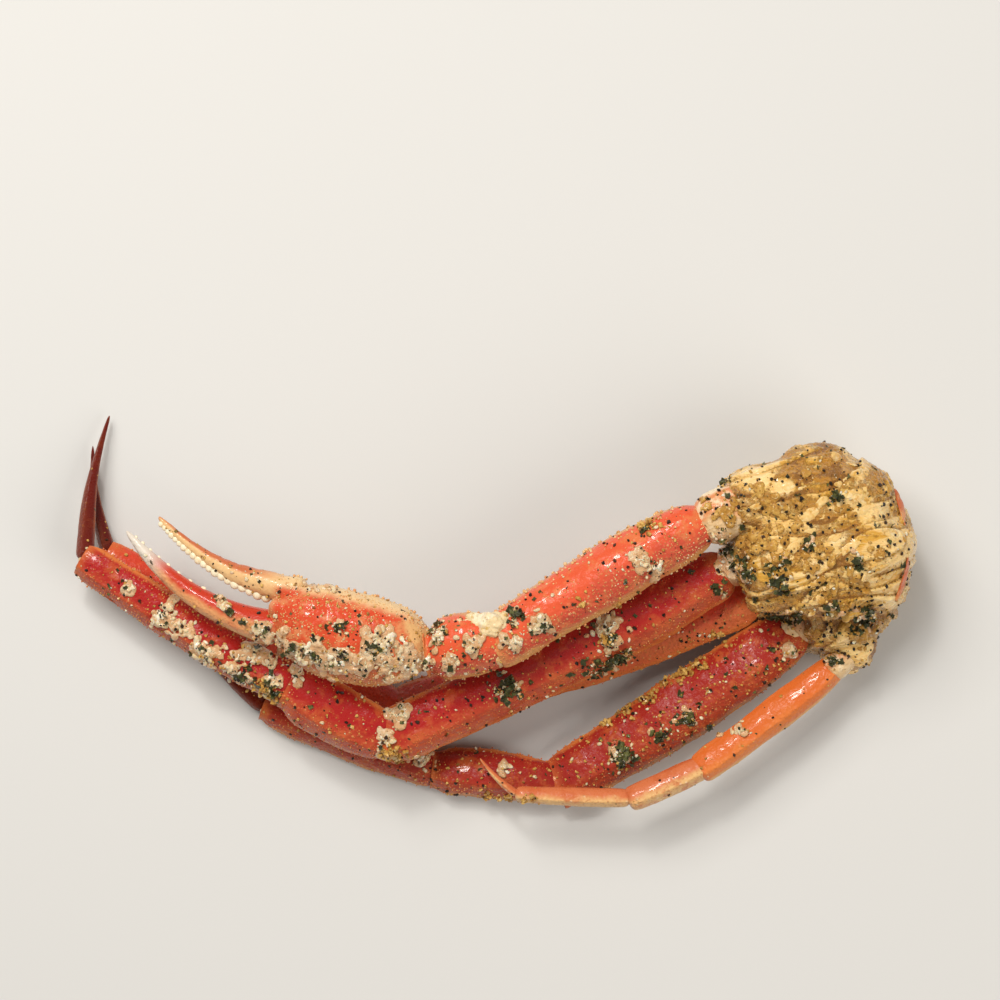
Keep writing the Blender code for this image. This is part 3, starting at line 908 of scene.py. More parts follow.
# %% The limbs' measures
SEGMENTS = ("basis", "merus", "carpus", "propodus", "dactyl")
SEAT_DEPTH = 0.22
LIMBS = {
    "claw": {
        "joints": [(72, 30, 27.5), (56.5, 23.5, 29), (0.4, -9.5, 30.5), (-17.5, -11.5, 28.5)],
        "width": (15, 17.5, 18),
        "thickness": (14, 14.5, 15.5),
        "roll": (0, 12, 0),
        "bow": (0, -1.2, -0.8),
    },
    "leg_1": {
        "joints": [(78, 19, 21), (63, 10.5, 20.5), (-30.5, -37, 17.6), (-57, -22.5, 16.6),
                   (-116, 13.2, 12), (-110, 55.2, 2.4)],
        "width": (13, 18.5, 17.5, 13.2, 5.4),
        "thickness": (11, 10.5, 10, 8.6, 4.4),
        "roll": (0, -6, -12, -8, 0),
        "bow": (0, 1.0, 0.6, 1.0, 2.0),
    },
    "leg_2": {
        "joints": [(87, 9, 11), (71.5, 3.2, 9.6), (-27.5, -30, 4.5), (-48.5, -18.5, 3.4),
                   (-110, 15, 2.9), (-115, 47, 1.6)],
        "width": (13, 18, 14, 10.5, 4.6),
        "thickness": (11, 10, 9, 7.4, 3.8),
        "roll": (0, 4, 0, 0, 0),
        "bow": (0, 0.8, 0.5, 0.8, 2.0),
    },
    "leg_3": {
        "joints": [(97, 3.5, 12), (84, -6.5, 10.6), (17.5, -50.5, 4.6), (-17, -46.5, 3.7),
                   (-65.5, -28.8, 3.0), (-88, -6, 1.6)],
        "width": (13, 18.5, 13.5, 11.5, 5.4),
        "thickness": (11, 10, 9.6, 8, 3.8),
        "roll": (0, 5, 0, 0, 0),
        "bow": (0, 1.0, -0.8, 0.8, 1.2),
    },
    "leg_4": {
        "joints": [(104, -7.5, 12.5), (95.5, -16.5, 13), (58.7, -44.2, 14.6), (38.2, -53.2, 15.6),
                   (5.8, -52.2, 15.9), (-4.4, -42.4, 13.4)],
        "width": (8.6, 10, 7.6, 5.6, 2.4),
        "thickness": (8, 7.4, 6.4, 4.8, 2.2),
        "roll": (0, 0, 0, 0, 0),
        "bow": (0, 0.5, 0.4, 0.3, 0.8),
        "overlap": 1.7,
    },
}
LIMB_SHELLS = {"claw": claw_shell, "leg_1": leg_shell, "leg_2": bounce_lit_leg_shell, "leg_3": far_shell,
               "leg_4": small_leg_shell}
NODE_SHELLS = {
    "leg_1_dactyl": dactyl_shell, "leg_2_dactyl": dactyl_shell, "leg_3_dactyl": dactyl_shell,
    "leg_4_carpus": small_leg_end_shell, "leg_4_propodus": small_leg_end_shell,
    "leg_4_dactyl": small_leg_end_shell,
}
BLUNT = {"leg_4": 0.42}
RING_STEP = 4.5 * MM
FEWEST_RINGS = 8
UNEVEN = 0.7 * MM
LARGE_UNEVEN = 1.1 * MM
PIT_SIZE = 1.3 * MM
PIT_DEPTH = 0.16 * MM
FULLY_UNEVEN_FROM = 13 * MM

# %% Build the limbs
dressed = {}


def roughen_shell(piece, large, fine, share=1.0):
    """Swells of two sizes in mm and small pits, so that no shell looks moulded."""
    displace(piece, "CLOUDS", large * MM, LARGE_UNEVEN * share, noise_depth=0)
    displace(piece, "CLOUDS", fine * MM, UNEVEN * share, noise_depth=2)
    displace(piece, "VORONOI", PIT_SIZE, -PIT_DEPTH * share, middle=0.4)


def shell_segment(node, kind, start, end, width, thickness, roll, bow, limb_name):
    """One segment of shell, from one joint to the next, in mm."""
    start, end = Vector(start) * MM, Vector(end) * MM
    length = (end - start).length
    width, thickness = width * MM, thickness * MM
    rings = max(FEWEST_RINGS, round(length / RING_STEP))
    cap = end_cap(width, length) * BLUNT.get(limb_name, 1.0)
    rimmed = kind in ("merus", "carpus", "propodus") and limb_name != "leg_4"
    stations = (rimmed_stations if rimmed else round_stations)(FORM[kind], cap, rings)
    plump = limb_name == "claw" or kind == "basis"
    look = (CLAW_SECTION, 0.45, 0.0) if plump else (LEG_SECTION, 0.75, 0.45)
    segment = extrude_rings(f"{node}_shell", stations, length, width, thickness, bow * MM, *look)
    subdivide_smooth(segment, 3 if width > 7 * MM else 2)
    matrix = lying_between(start, end, roll)
    lay_down(segment, matrix)
    roughen_shell(segment, 16, 6, min(1.0, width / FULLY_UNEVEN_FROM))
    rest_on_floor(segment)
    keep_vectors(segment, "place", place_on(segment, matrix, length, width, thickness, bow * MM, FORM[kind]))
    slot = "claw_shell" if limb_name in ("claw", "leg_4") else "cooked_shell"
    finish = basis_shell if kind == "basis" else NODE_SHELLS.get(node, LIMB_SHELLS[limb_name])
    dressed[node] = finish_piece(segment, finish, slot, node)


def limb_segments(limb):
    """Each segment's kind, ends and sizes, with its seat inside the segment before it."""
    joints = [Vector(point) for point in limb["joints"]]
    for index, width in enumerate(limb["width"]):
        start, end = joints[index], joints[index + 1]
        seat = (end - start).normalized() * (width * SEAT_DEPTH)
        start = start - seat if index else start
        sizes = (width, limb["thickness"][index], limb["roll"][index], limb["bow"][index])
        yield SEGMENTS[index], start, end + seat * limb.get("overlap", 0.5), sizes


for limb_name, limb in LIMBS.items():
    for kind, start, end, sizes in limb_segments(limb):
        shell_segment(f"{limb_name}_{kind}", kind, start, end, *sizes, limb_name)
    own = [piece for node, piece in dressed.items() if node.startswith(limb_name)]
    print(limb_name, "faces:", sum(len(piece.data.polygons) for piece in own))

# %% [markdown]
# ## The claw's hand
# The palm and the finger that doesn't move are one shell, so both are modelled as closed tubes and melted
# together: a voxel remesh takes the outer skin of the two, and a few rounds of smoothing soften the crease.
# The other finger stays a piece of its own in the palm's socket.

# %% Palm and fingers
PALM = {"ends": [(-16.5, -11.5, 28.5), (-64, -0.5, 27)], "width": 24, "thickness": 16.5, "bow": 1.6}
FIXED_FINGER = {"ends": [(-53, 4.6, 27), (-95, 26.2, 22.5)], "width": 7.2, "thickness": 6.2, "bow": 4.0}
MOVING_FINGER = {"ends": [(-58, -6.2, 27), (-104, 22.2, 20.5)], "width": 11.6, "thickness": 10.4, "bow": 5.4}
HINGE_KNOB = (-60.6, 0.6, 30.0, 2.6)
HAND_SKIN = 0.36 * MM


def hand_tube(name, kind, form):
    """A palm or finger as a plain closed tube in its place. Returns it with its matrix and sizes."""
    start, end = (Vector(point) * MM for point in form["ends"])
    length = (end - start).length
    width, thickness = form["width"] * MM, form["thickness"] * MM
    cap = end_cap(width, length) * (1.5 if kind == "palm" else 1.0)
    stations = round_stations(FORM[kind], cap, 16)
    tube = extrude_rings(name, stations, length, width, thickness, form["bow"] * MM, CLAW_SECTION, 0.3)
    subdivide_smooth(tube, 2 if kind == "palm" else 3)
    matrix = lying_between(start, end)
    lay_down(tube, matrix)
    return tube, (matrix, length, width, thickness, form["bow"] * MM, FORM[kind])


palm, palm_sizes = hand_tube("palm", "palm", PALM)
fixed_finger, fixed_sizes = hand_tube("fixed_finger", "fixed_finger", FIXED_FINGER)
deselect_all()
bpy.ops.mesh.primitive_ico_sphere_add(
    subdivisions=4, radius=HINGE_KNOB[3] * MM, location=[value * MM for value in HINGE_KNOB[:3]]
)
knob = bpy.context.object
hand = join_pieces([palm, fixed_finger, knob], "claw_palm_shell")
melt_together(hand, HAND_SKIN, 16)
roughen_shell(hand, 14, 5)
keep_vectors(hand, "place", place_on(hand, *palm_sizes))
on_finger = place_on(hand, *fixed_sizes)
keep_vectors(hand, "finger_place", on_finger)
FINGER_FROM, FINGER_BLEND, FINGER_SIDE = 0.10, 0.22, 1.9
near_finger = np.clip(FINGER_SIDE - np.abs(on_finger[:, 1]), 0, 1)
past_knuckle = np.clip((on_finger[:, 0] - FINGER_FROM) / FINGER_BLEND, 0, 1)
keep_numbers(hand, "finger", past_knuckle * near_finger)
dressed["claw_palm"] = finish_piece(hand, hand_shell, "claw_shell", "claw_palm")

moving_finger, moving_sizes = hand_tube("claw_finger_shell", "moving_finger", MOVING_FINGER)
displace(moving_finger, "CLOUDS", 7 * MM, 0.3 * MM, noise_depth=2)
keep_vectors(moving_finger, "place", place_on(moving_finger, *moving_sizes))
dressed["claw_finger"] = finish_piece(moving_finger, moving_finger_shell, "claw_shell", "claw_finger")
print("hand faces:", len(hand.data.polygons), "finger faces:", len(moving_finger.data.polygons))

# %% [markdown]
# ## The shoulder
# The shoulder is the broken-off side of the body: meat compartments over a breast shell. Lobes are laid out
# as in the frame and melted together, first coarsely so that they run into each other. Then the surface is
# worked like clay. Crab meat comes apart in flat plates that overlap like roof tiles, so a drawn-out noise
# is cut into a saw's teeth. Fine fibres run along them, some patches are mushy and granular, and some are
# bare. Along the break of the upper compartments runs a lip over a hollow, which is painted dark: painted
# shade. An attribute, hollow, says where the ochre seasoning gathers: at the foot of each plate and in the
# mush, while the plates' edges stay cream. It also carries that painted shade. Melting shrinks the lobes a
# little, so they start slightly too large.

# %% Model the shoulder
LOBES = {
    "core": [(63, 20, 20), (118.6, 19, 19), 41, 35],
    "claw": [(61, 28.5, 26), (113, 33, 23), 23, 25],
    "crest": [(77, 36, 25), (100, 41, 23), 16, 17],
    "leg_1": [(64, 13, 25), (118, 19, 23), 25, 29],
    "leg_2": [(68, 6, 20), (117, 8, 18), 20, 29],
    "leg_3": [(84, -5, 13), (113, 2, 12), 20, 22],
    "leg_4": [(91, -10, 9.5), (109, -8, 8), 19, 17],
    "breast": [(66, 12, 5.4), (114, 10, 5.4), 46, 15],
}
MEAT_SKIN = 0.38 * MM
PLATE_WIDTH = 9.5
LOBE_GROWTH = 1.05
BARE_PATCHES = [
    (111.5, 17, 11), (71, 36, 6), (99, 29, 6.5), (88, 13.5, 5), (101, 9, 5.5), (107, 25, 8), (79, 34, 4),
]
BREAK_X = [66, 72, 80, 91, 101, 112]
BREAK_Y = [2.5, 0.2, -0.4, -1.6, -1.6, -2.4]
BREAK_LOWEST = 12
LIP_WIDTH, LIP_HEIGHT = 4, 1.4
# HOLLOW_SHADOW is painted shade: how much darker the hollow under the lip is coloured.
HOLLOW_WIDTH, HOLLOW_DEPTH, HOLLOW_SHADOW = 6, 2.9, 0.8
HIGHEST = cad_box[1][2] + 0.9 * MM
SOFT_TOP = cad_box[1][2] - 3.6 * MM
TOP_SQUASH = 0.35

lobes = []
for lobe_name, (start, end, width, thickness) in LOBES.items():
    start, end = Vector(start) * MM, Vector(end) * MM
    length = (end - start).length
    cap = min(LONGEST_CAP, END_ROUNDING * width * MM / 2 / length)
    stations = round_stations(FORM["lobe"], cap, 10)
    full_width, full_thickness = width * LOBE_GROWTH * MM, thickness * LOBE_GROWTH * MM
    lobe = extrude_rings(lobe_name, stations, length, full_width, full_thickness, 0, CLAW_SECTION, 0)
    subdivide_smooth(lobe, 2)
    lay_down(lobe, lying_between(start, end))
    lobes.append(lobe)
shoulder = join_pieces(lobes, "shoulder_meat")
melt_together(shoulder, 1.0 * MM, 18)
melt_together(shoulder, MEAT_SKIN, 2)


def along_fibres(at):
    """A point in mm, turned so that its first number runs along the meat's fibres."""
    return (at.x * math.cos(FIBRE_TILT) + at.y * math.sin(FIBRE_TILT),
            at.y * math.cos(FIBRE_TILT) - at.x * math.sin(FIBRE_TILT))


def plate_height(at):
    """Plates that overlap like tiles, each with a small cliff. Also how far up its plate a point is."""
    along, beside = along_fibres(at)
    level = beside / PLATE_WIDTH + 2.1 * noise.noise(Vector((along / 28, beside / 9, at.z / 26)))
    level += 0.42 * noise.noise(Vector((along / 10, beside / 3.6, at.z / 10)) + Vector((5, 1, 9)))
    rise = level - math.floor(level)
    return (rise if rise < 0.9 else (1 - rise) * 9), rise


def bareness(at):
    """1 in the middle of a patch of bare meat, 0 away from all of them."""
    away = [math.hypot(at.x - x, (at.y - y) * 1.4) / reach for x, y, reach in BARE_PATCHES]
    return max(0.0, 1 - min(away) ** 2)


def ledge_height(at):
    """The broken edge of the upper compartments: a lip over a hollow. Also how much painted shade darkens the
    hollow.
    """
    if at.z < BREAK_LOWEST or not BREAK_X[0] < at.x < BREAK_X[-1]:
        return 0.0, 0.0
    below = np.interp(at.x, BREAK_X, BREAK_Y) + 0.9 * noise.noise(at / 4) - at.y
    if -LIP_WIDTH < below <= 0:
        return LIP_HEIGHT * (1 + below / LIP_WIDTH), 0.0
    if 0 < below < HOLLOW_WIDTH:
        near = 1 - below / HOLLOW_WIDTH
        return -HOLLOW_DEPTH * near, HOLLOW_SHADOW * near
    return 0.0, 0.0


def fibre_height(at):
    along, beside = along_fibres(at)
    return 1 - 2 * abs(noise.noise(Vector((along / 6, beside / 1.3, at.z / 1.6))))


def work_meat(obj):
    """Pushes each point out or in along its normal. Returns where the seasoning gathers, with painted shade
    added in the hollow under the lip.
    """
    seasoning_and_shade = np.empty(len(obj.data.vertices))
    moved = np.empty((len(obj.data.vertices), 3), dtype=np.float32)
    for index, vertex in enumerate(obj.data.vertices):
        at = vertex.co / MM
        plate, rise = plate_height(at)
        fibres = fibre_height(at)
        ledge, shadow = ledge_height(at)
        bare = bareness(at)
        mush = max(0.0, min(1.0, 0.62 + 2.2 * noise.noise(at / 8 + Vector((1, 8, 2))))) * (1 - bare)
        grain_here = noise.noise(at / 0.75) + 0.6 * noise.noise(at / 1.7)
        height = 1.15 * plate * (1 - 0.45 * mush) + 0.22 * (fibres - 0.4) * (1 - 0.7 * mush)
        height += 1.7 * noise.noise(at / 13 + Vector((7, 3, 5))) + 0.42 * mush * grain_here + ledge
        foot = 0.70 * (1 - rise) ** 2.5
        # The shadow term adds painted shade: the hollow under the lip is coloured darker.
        seasoning_and_shade[index] = foot + 0.50 * mush + 0.15 * (0.5 - fibres) - 0.45 * bare + shadow
        seasoning_and_shade[index] *= 0.5 + 0.5 * max(0.0, min(1.0, 0.5 + vertex.normal.z))
        moved[index] = vertex.co + vertex.normal * ((height - 0.5) * MM)
        if moved[index][2] > SOFT_TOP:
            moved[index][2] = SOFT_TOP + (moved[index][2] - SOFT_TOP) * TOP_SQUASH
    obj.data.vertices.foreach_set("co", moved.ravel())
    obj.data.update()
    return seasoning_and_shade


hollows = work_meat(shoulder)
rest_on_floor(shoulder)
keep_numbers(shoulder, "hollow", np.clip(hollows, 0, 1))
dressed["shoulder"] = finish_piece(shoulder, meat, "shoulder_meat", "shoulder")
print("shoulder faces:", len(shoulder.data.polygons), "hollow:", round(float(hollows.mean()), 2))

# %% [markdown]
# ## Finding the surface
# Everything that was sprinkled on fell from above. One tree of faces for each piece answers where a
# straight line meets it, and the nearest answer counts. A coarse map remembers how deep the toppings
# already lie at each spot, so that the next one lands on them and piles build up. A depth, unlike a height,
# also holds on a steep flank.

# %% Surface finder
SKY = 0.2
HEAP_CELL = 0.35 * MM
DEEPEST_HEAP = 1.2 * MM
trees = {}
boxes = {}
heap_depths = {}


def add_landing(name, piece):
    """Lets later bits land on a piece as well."""
    trees[name] = BVHTree.FromObject(piece, bpy.context.evaluated_depsgraph_get())
    points = points_of(piece)
    boxes[name] = (points.min(axis=0), points.max(axis=0))


for node, piece in dressed.items():
    add_landing(node, piece)


def land(x, y, lean=(0.0, 0.0)):
    """Where a line from the sky meets the cluster first: the point, the normal and the node's name."""
    direction = Vector((lean[0], lean[1], -1)).normalized()
    best = (None, None, None)
    top = -1.0
    for node, tree_of in trees.items():
        low, high = boxes[node]
        spread = SKY * max(abs(lean[0]), abs(lean[1]))
        if x < low[0] - spread or x > high[0] + spread or y < low[1] - spread or y > high[1] + spread:
            continue
        start = Vector((x - lean[0] * SKY, y - lean[1] * SKY, SKY))
        point, normal, _, _ = tree_of.ray_cast(start, direction)
        if point is not None and point.z > top:
            top = point.z
            best = (point, normal, node)
    return best


def heap_cell(x, y):
    return (round(x / HEAP_CELL), round(y / HEAP_CELL))


def pile_on(point, radius, stacking=0.55):
    """Raises a point to what already lies there, and notes that a bit of this radius now lies on it."""
    column, row = heap_cell(point.x, point.y)
    depth = heap_depths.get((column, row), 0.0)
    raised = min(DEEPEST_HEAP, depth + radius * stacking)
    reach = int(radius / HEAP_CELL)
    for across in range(-reach, reach + 1):
        for down in range(-reach, reach + 1):
            cell = (column + across, row + down)
            heap_depths[cell] = max(heap_depths.get(cell, 0.0), raised)
    return point.z + depth


# %% [markdown]
# ## The shapes of small bits
# A chopped bit is a small ball pushed out of shape, and no two look alike. A few shapes of each kind are
# modelled, and every bit is a copy of one of them, turned and stretched its own way, and joined to one mesh
# for each kind.

# %% Bit shapes and the scatterer
def bit_shapes(count, cuts, jag, stretch, seed):
    """A few lumps made from a small ball: pushed about at random, then stretched."""
    shapes = []
    for number in range(count):
        deselect_all()
        bpy.ops.mesh.primitive_ico_sphere_add(subdivisions=cuts, radius=1)
        ball = bpy.context.object
        bpy.ops.object.mode_set(mode="EDIT")
        bpy.ops.mesh.select_all(action="SELECT")
        bpy.ops.transform.vertex_random(offset=jag, seed=seed + number)
        bpy.ops.transform.resize(value=stretch)
        bpy.ops.object.mode_set(mode="OBJECT")
        corners = np.array([list(face.vertices) for face in ball.data.polygons])
        shapes.append((points_of(ball).copy(), corners))
        bpy.data.objects.remove(ball)
    return shapes


def leaf_shapes(count, seed):
    """Scraps of chopped leaf: a small grid, crumpled, folded once and given a thickness."""
    shapes = []
    for number in range(count):
        deselect_all()
        bpy.ops.mesh.primitive_grid_add(x_subdivisions=4, y_subdivisions=3, size=2)
        leaf = bpy.context.object
        bpy.ops.object.mode_set(mode="EDIT")
        bpy.ops.mesh.select_all(action="SELECT")
        bpy.ops.transform.resize(value=(1.15, 0.8, 1))
        bpy.ops.transform.vertex_random(offset=0.28, seed=seed + number)
        bpy.ops.object.mode_set(mode="OBJECT")
        for vertex in leaf.data.vertices:
            vertex.co.z += 0.45 * abs(vertex.co.y) * (1 if number % 2 else -1)
        wall = leaf.modifiers.new("wall", "SOLIDIFY")
        wall.thickness = 0.14
        apply_modifier(leaf, wall)
        corners = np.array([list(face.vertices) for face in leaf.data.polygons])
        shapes.append((points_of(leaf).copy(), corners))
        bpy.data.objects.remove(leaf)
    return shapes


def random_turns(rng, count):
    """Evenly random turns as matrices, from random quaternions."""
    q = rng.normal(size=(count, 4))
    q /= np.linalg.norm(q, axis=1)[:, None]
    w, x, y, z = q.T
    rows = [
        [1 - 2 * (y * y + z * z), 2 * (x * y - z * w), 2 * (x * z + y * w)],
        [2 * (x * y + z * w), 1 - 2 * (x * x + z * z), 2 * (y * z - x * w)],
        [2 * (x * z - y * w), 2 * (y * z + x * w), 1 - 2 * (x * x + y * y)],
    ]
    return np.array(rows).transpose(2, 0, 1)


def facing_turns(rng, normals, loose):
    """Turns that lay a flat bit on its surface, with a random spin and a little tilt."""
    turns = []
    for normal in normals:
        tilt = Vector(rng.normal(size=3)) * loose
        up = (Vector(normal) + tilt).normalized()
        spin = Matrix.Rotation(rng.uniform(0, 2 * math.pi), 3, "Z")
        turns.append(np.array(up.to_track_quat("Z", "Y").to_matrix() @ spin))
    return np.array(turns)


def scatter_mesh(name, shapes, bits, turns, material, slot, smooth=True):
    """One mesh of many bits, which are given by their centres, normals and radii."""
    centres, sizes = np.array(bits[0]), np.array(bits[2])
    centres[:, 2] = np.minimum(centres[:, 2], HIGHEST - sizes * 1.2)
    which = np.arange(len(centres)) % len(shapes)
    all_points, all_faces, start = [], [], 0
    for number, (shape, corners) in enumerate(shapes):
        chosen = np.nonzero(which == number)[0]
        placed = np.einsum("nij,vj->nvi", turns[chosen], shape) * sizes[chosen][:, None, None]
        placed += centres[chosen][:, None, :]
        offsets = start + np.arange(len(chosen)) * len(shape)
        all_points.append(placed.reshape(-1, 3))
        all_faces.append((corners[None] + offsets[:, None, None]).reshape(-1, corners.shape[1]))
        start += len(chosen) * len(shape)
    points, faces = np.vstack(all_points), np.vstack(all_faces)
    points[:, 2] = np.maximum(points[:, 2], 0.0)
    mesh = bpy.data.meshes.new(name)
    mesh.from_pydata(points.tolist(), [], faces.tolist())
    scattered = bpy.data.objects.new(name, mesh)
    bpy.context.collection.objects.link(scattered)
    finish_piece(scattered, material, slot)
    if not smooth:
        bpy.ops.object.shade_flat()
    print(name, "bits:", len(centres), "faces:", len(faces))
    return scattered


# %% [markdown]
# ## Teeth and granules
# The fixed finger bites with a row of rounded white teeth, and the moving one with a short row of smaller
# ones. Each row shrinks towards the tip. The shell's granules stand in rows along the keels, like a rasp,
# and thin out over the lower facets and the back of the hand. Both are small domes set on the finished
# surface, so they follow it exactly.

# %% Teeth
TOOTH = 1.40 * MM
FIXED_TEETH = {"count": 20, "first": 0.17, "last": 0.95, "side": 1, "size": 1.0}
MOVING_TEETH = {"count": 9, "first": 0.36, "last": 0.93, "side": -1, "size": 0.62}


def tooth_row(name, sizes, teeth, inset):
    """Rounded teeth along one side of a finger, smaller towards its tip."""
    matrix, length, width, _, bow, form = sizes
    centres, radii = [], []
    sizes_along = np.linspace(1.0, 0.5, teeth["count"])
    along = np.cumsum(sizes_along) - sizes_along / 2
    for number in range(teeth["count"]):
        t = teeth["first"] + (teeth["last"] - teeth["first"]) * along[number] / along[-1]
        half = share_along(form, t) * width / 2
        middle = bow * math.sin(math.pi * t)
        centres.append(matrix @ Vector((length * t, middle + teeth["side"] * half * inset, 0)))
        radii.append(TOOTH * teeth["size"] * sizes_along[number] * (1.10 if number % 3 == 1 else 0.98))
    balls = bit_shapes(1, 3, 0.02, (1.10, 1.22, 1.0), 40)
    turns = np.array([np.array(matrix.to_3x3())] * len(centres))
    scatter_mesh(name, balls, (centres, None, radii), turns, tooth_enamel, "claw_shell")


tooth_row("fixed_finger_teeth", fixed_sizes, FIXED_TEETH, 0.94)
tooth_row("moving_finger_teeth", moving_sizes, MOVING_TEETH, 0.86)

# %% Granules
# Each node's step along a row and granule radius in mm, and how many granules its facets have.
NODE_GRANULES = {
    "claw_merus": (1.5, 0.62, 320), "claw_carpus": (1.7, 0.52, 120), "claw_palm": (1.8, 0.46, 900),
    "leg_1_merus": (1.2, 0.27, 520), "leg_1_carpus": (1.1, 0.32, 230), "leg_1_propodus": (0.95, 0.42, 380),
    "leg_2_merus": (1.3, 0.27, 200), "leg_2_carpus": (1.2, 0.28, 0), "leg_2_propodus": (1.1, 0.28, 0),
    "leg_3_merus": (1.2, 0.30, 380), "leg_3_carpus": (1.2, 0.32, 150), "leg_3_propodus": (1.1, 0.32, 120),
}
# Each row's side, its place between the middle and the keel, and its share of the granules' size.
ROWS = [(-1, 1.0, 1.0), (-1, 0.84, 0.8), (-1, 0.70, 0.6), (1, 1.0, 0.6)]
rng = np.random.default_rng(11)
granules = {"leg": ([], None, []), "claw": ([], None, [])}
for node, (step, radius, facet_count) in NODE_GRANULES.items():
    centres, _, radii = granules[node.split("_")[0]]
    piece = dressed[node]
    points = points_of(piece)
    where = np.empty(len(points) * 3, dtype=np.float32)
    piece.data.attributes["place"].data.foreach_get("vector", where)
    where = where.reshape(-1, 3)
    upper = where[:, 2] > -0.25
    span = float(np.linalg.norm(points[where[:, 0].argmax()] - points[where[:, 0].argmin()])) / MM
    for side, inset, share in ROWS:
        for number in range(int(span / step)):
            t = (number + 0.5) * step / span
            near = np.nonzero((np.abs(where[:, 0] - t) < step / span) & upper)[0]
            if len(near) == 0 or t < 0.08 or t > 0.95:
                continue
            outward = where[near, 1] * side
            keel_point = near[np.argmin(np.abs(outward - inset * outward.max()))]
            if rng.random() < 0.5 + 0.4 * inset:
                centres.append(points[keel_point] + rng.normal(size=3) * 0.14 * MM)
                radii.append(radius * rng.uniform(0.7, 1.25) * share * MM)
    if facet_count:
        along, across, up = where.T
        if node == "claw_palm":
            chance = (up > 0.1) * (np.abs(along - 0.55) < 0.42) * (0.3 + np.clip(along, 0, 1))
        else:
            chance = np.clip(across * 0.6 + 0.6, 0.15, 1.2) * (up > 0.1) * (np.abs(along - 0.5) < 0.46)
        picked = rng.choice(len(points), size=facet_count, replace=False, p=chance / chance.sum())
        centres.extend(points[picked])
        radii.extend(rng.uniform(0.13, 0.30, size=facet_count) * MM)
grains = bit_shapes(3, 1, 0.06, (1, 1, 0.9), 60)
for name, finish, slot in (("leg", leg_granule_shell, "cooked_shell"), ("claw", granule_shell, "claw_shell")):
    turns = random_turns(rng, len(granules[name][0]))
    scatter_mesh(f"{name}_granules", grains, granules[name], turns, finish, slot)

# %% [markdown]
# ## Joints
# Between two segments of shell a wet cream membrane folds like a bellows. Each joint gets one: a short
# folded tube that fills the cup, slimmer where the limb bends sharply and fuller at the knees, where more
# of it shows. At the claw's elbow white meat has swollen out of the joint in knobs, which are balls melted
# together and roughened.

# %% Joint membranes
FOLDS = [
    (0.0, 0.55), (0.12, 0.80), (0.28, 0.92), (0.42, 0.80),
    (0.58, 0.90), (0.72, 0.78), (0.88, 0.74), (1.0, 0.5),
]
KNEE = 2
SNUG_STRAIGHT, SNUG_BENT, SNUG_KNEE = 0.84, 0.44, 0.74
THIN_LEG_SHARE = 0.8
pads = []
for limb_name, limb in LIMBS.items():
    joints = [Vector(point) for point in limb["joints"]]
    widths, thicknesses = list(limb["width"]), list(limb["thickness"])
    if limb_name == "claw":
        joints.append(Vector(PALM["ends"][1]))
        widths.append(PALM["width"] * FORM["palm"][0])
        thicknesses.append(PALM["thickness"] * FORM["palm"][0])
    for index in range(1, len(joints) - 1):
        before = (joints[index] - joints[index - 1]).normalized()
        after = (joints[index + 1] - joints[index]).normalized()
        axis = (before + after).normalized()
        straight = before.dot(after)
        snug = SNUG_STRAIGHT if straight > 0.3 else SNUG_BENT
        if index == KNEE and straight < 0.8:
            snug = SNUG_KNEE
        if limb_name == "leg_4":
            snug *= THIN_LEG_SHARE
        width = min(widths[index - 1], widths[index]) * snug
        thickness = min(thicknesses[index - 1], thicknesses[index]) * snug
        reach = width * 0.38
        start, end = (joints[index] - axis * reach) * MM, (joints[index] + axis * reach) * MM
        length = (end - start).length
        pad = extrude_rings("pad", FOLDS, length, width * MM, thickness * MM, 0, CLAW_SECTION, 0)
        subdivide_smooth(pad, 2)
        lay_down(pad, lying_between(start, end))
        displace(pad, "CLOUDS", 1.6 * MM, 0.7 * MM)
        pads.append(pad)
joint_pads = join_pieces(pads, "joint_membranes")
rest_on_floor(joint_pads)
finish_piece(joint_pads, membrane, "joint_membrane")
add_landing("joints", joint_pads)

# %% The swollen elbow
ELBOW_LUMPS = [
    (-1.5, -4.6, 33.6, 4.4), (-5.6, -3.8, 32.6, 3.4), (-9.4, -5.0, 31.6, 3.2),
    (2.6, -3.4, 33.4, 2.8), (-12.6, -6.2, 30.4, 2.4), (-3.5, -8.4, 33.4, 3.4),
]
lumps = []
for x, y, z, radius in ELBOW_LUMPS:
    deselect_all()
    spot = (x * MM, y * MM, z * MM)
    bpy.ops.mesh.primitive_ico_sphere_add(subdivisions=4, radius=radius * MM, location=spot)
    lump = bpy.context.object
    bpy.ops.object.transform_apply(location=True, rotation=True, scale=True)
    lumps.append(lump)
elbow = join_pieces(lumps, "elbow_meat")
melt_together(elbow, 0.32 * MM, 6)
displace(elbow, "CLOUDS", 2.8 * MM, 2.0 * MM, noise_depth=1)
displace(elbow, "CLOUDS", 0.9 * MM, 0.6 * MM, noise_depth=1)
finish_piece(elbow, white_meat, "joint_membrane")
add_landing("elbow", elbow)
print("joint pads:", len(pads), "faces:", len(joint_pads.data.polygons))

# %% [markdown]
# ## Scraps of shell on the break
# Where the body was broken off, bits of its thin red wall still cling to the outer end of the meat. Each is
# a narrow plate that follows the break, leans outwards and tapers to both ends, given a thickness and
# roughened.

# %% Shell scraps
SCRAPS = [
    [(110.5, 34), (111.6, 31.5), (112.6, 28.5), (113.2, 25.8), (113.2, 23.5)],
    [(113.6, 14.5), (113.8, 11.5), (113.2, 8), (112.2, 5), (110.8, 2.5)],
]
PLATE_FACES = Vector((0.8, 0, 0.6))
PLATE_WIDEST = 3.4 * MM
PLATE_THICKNESS = 0.5 * MM


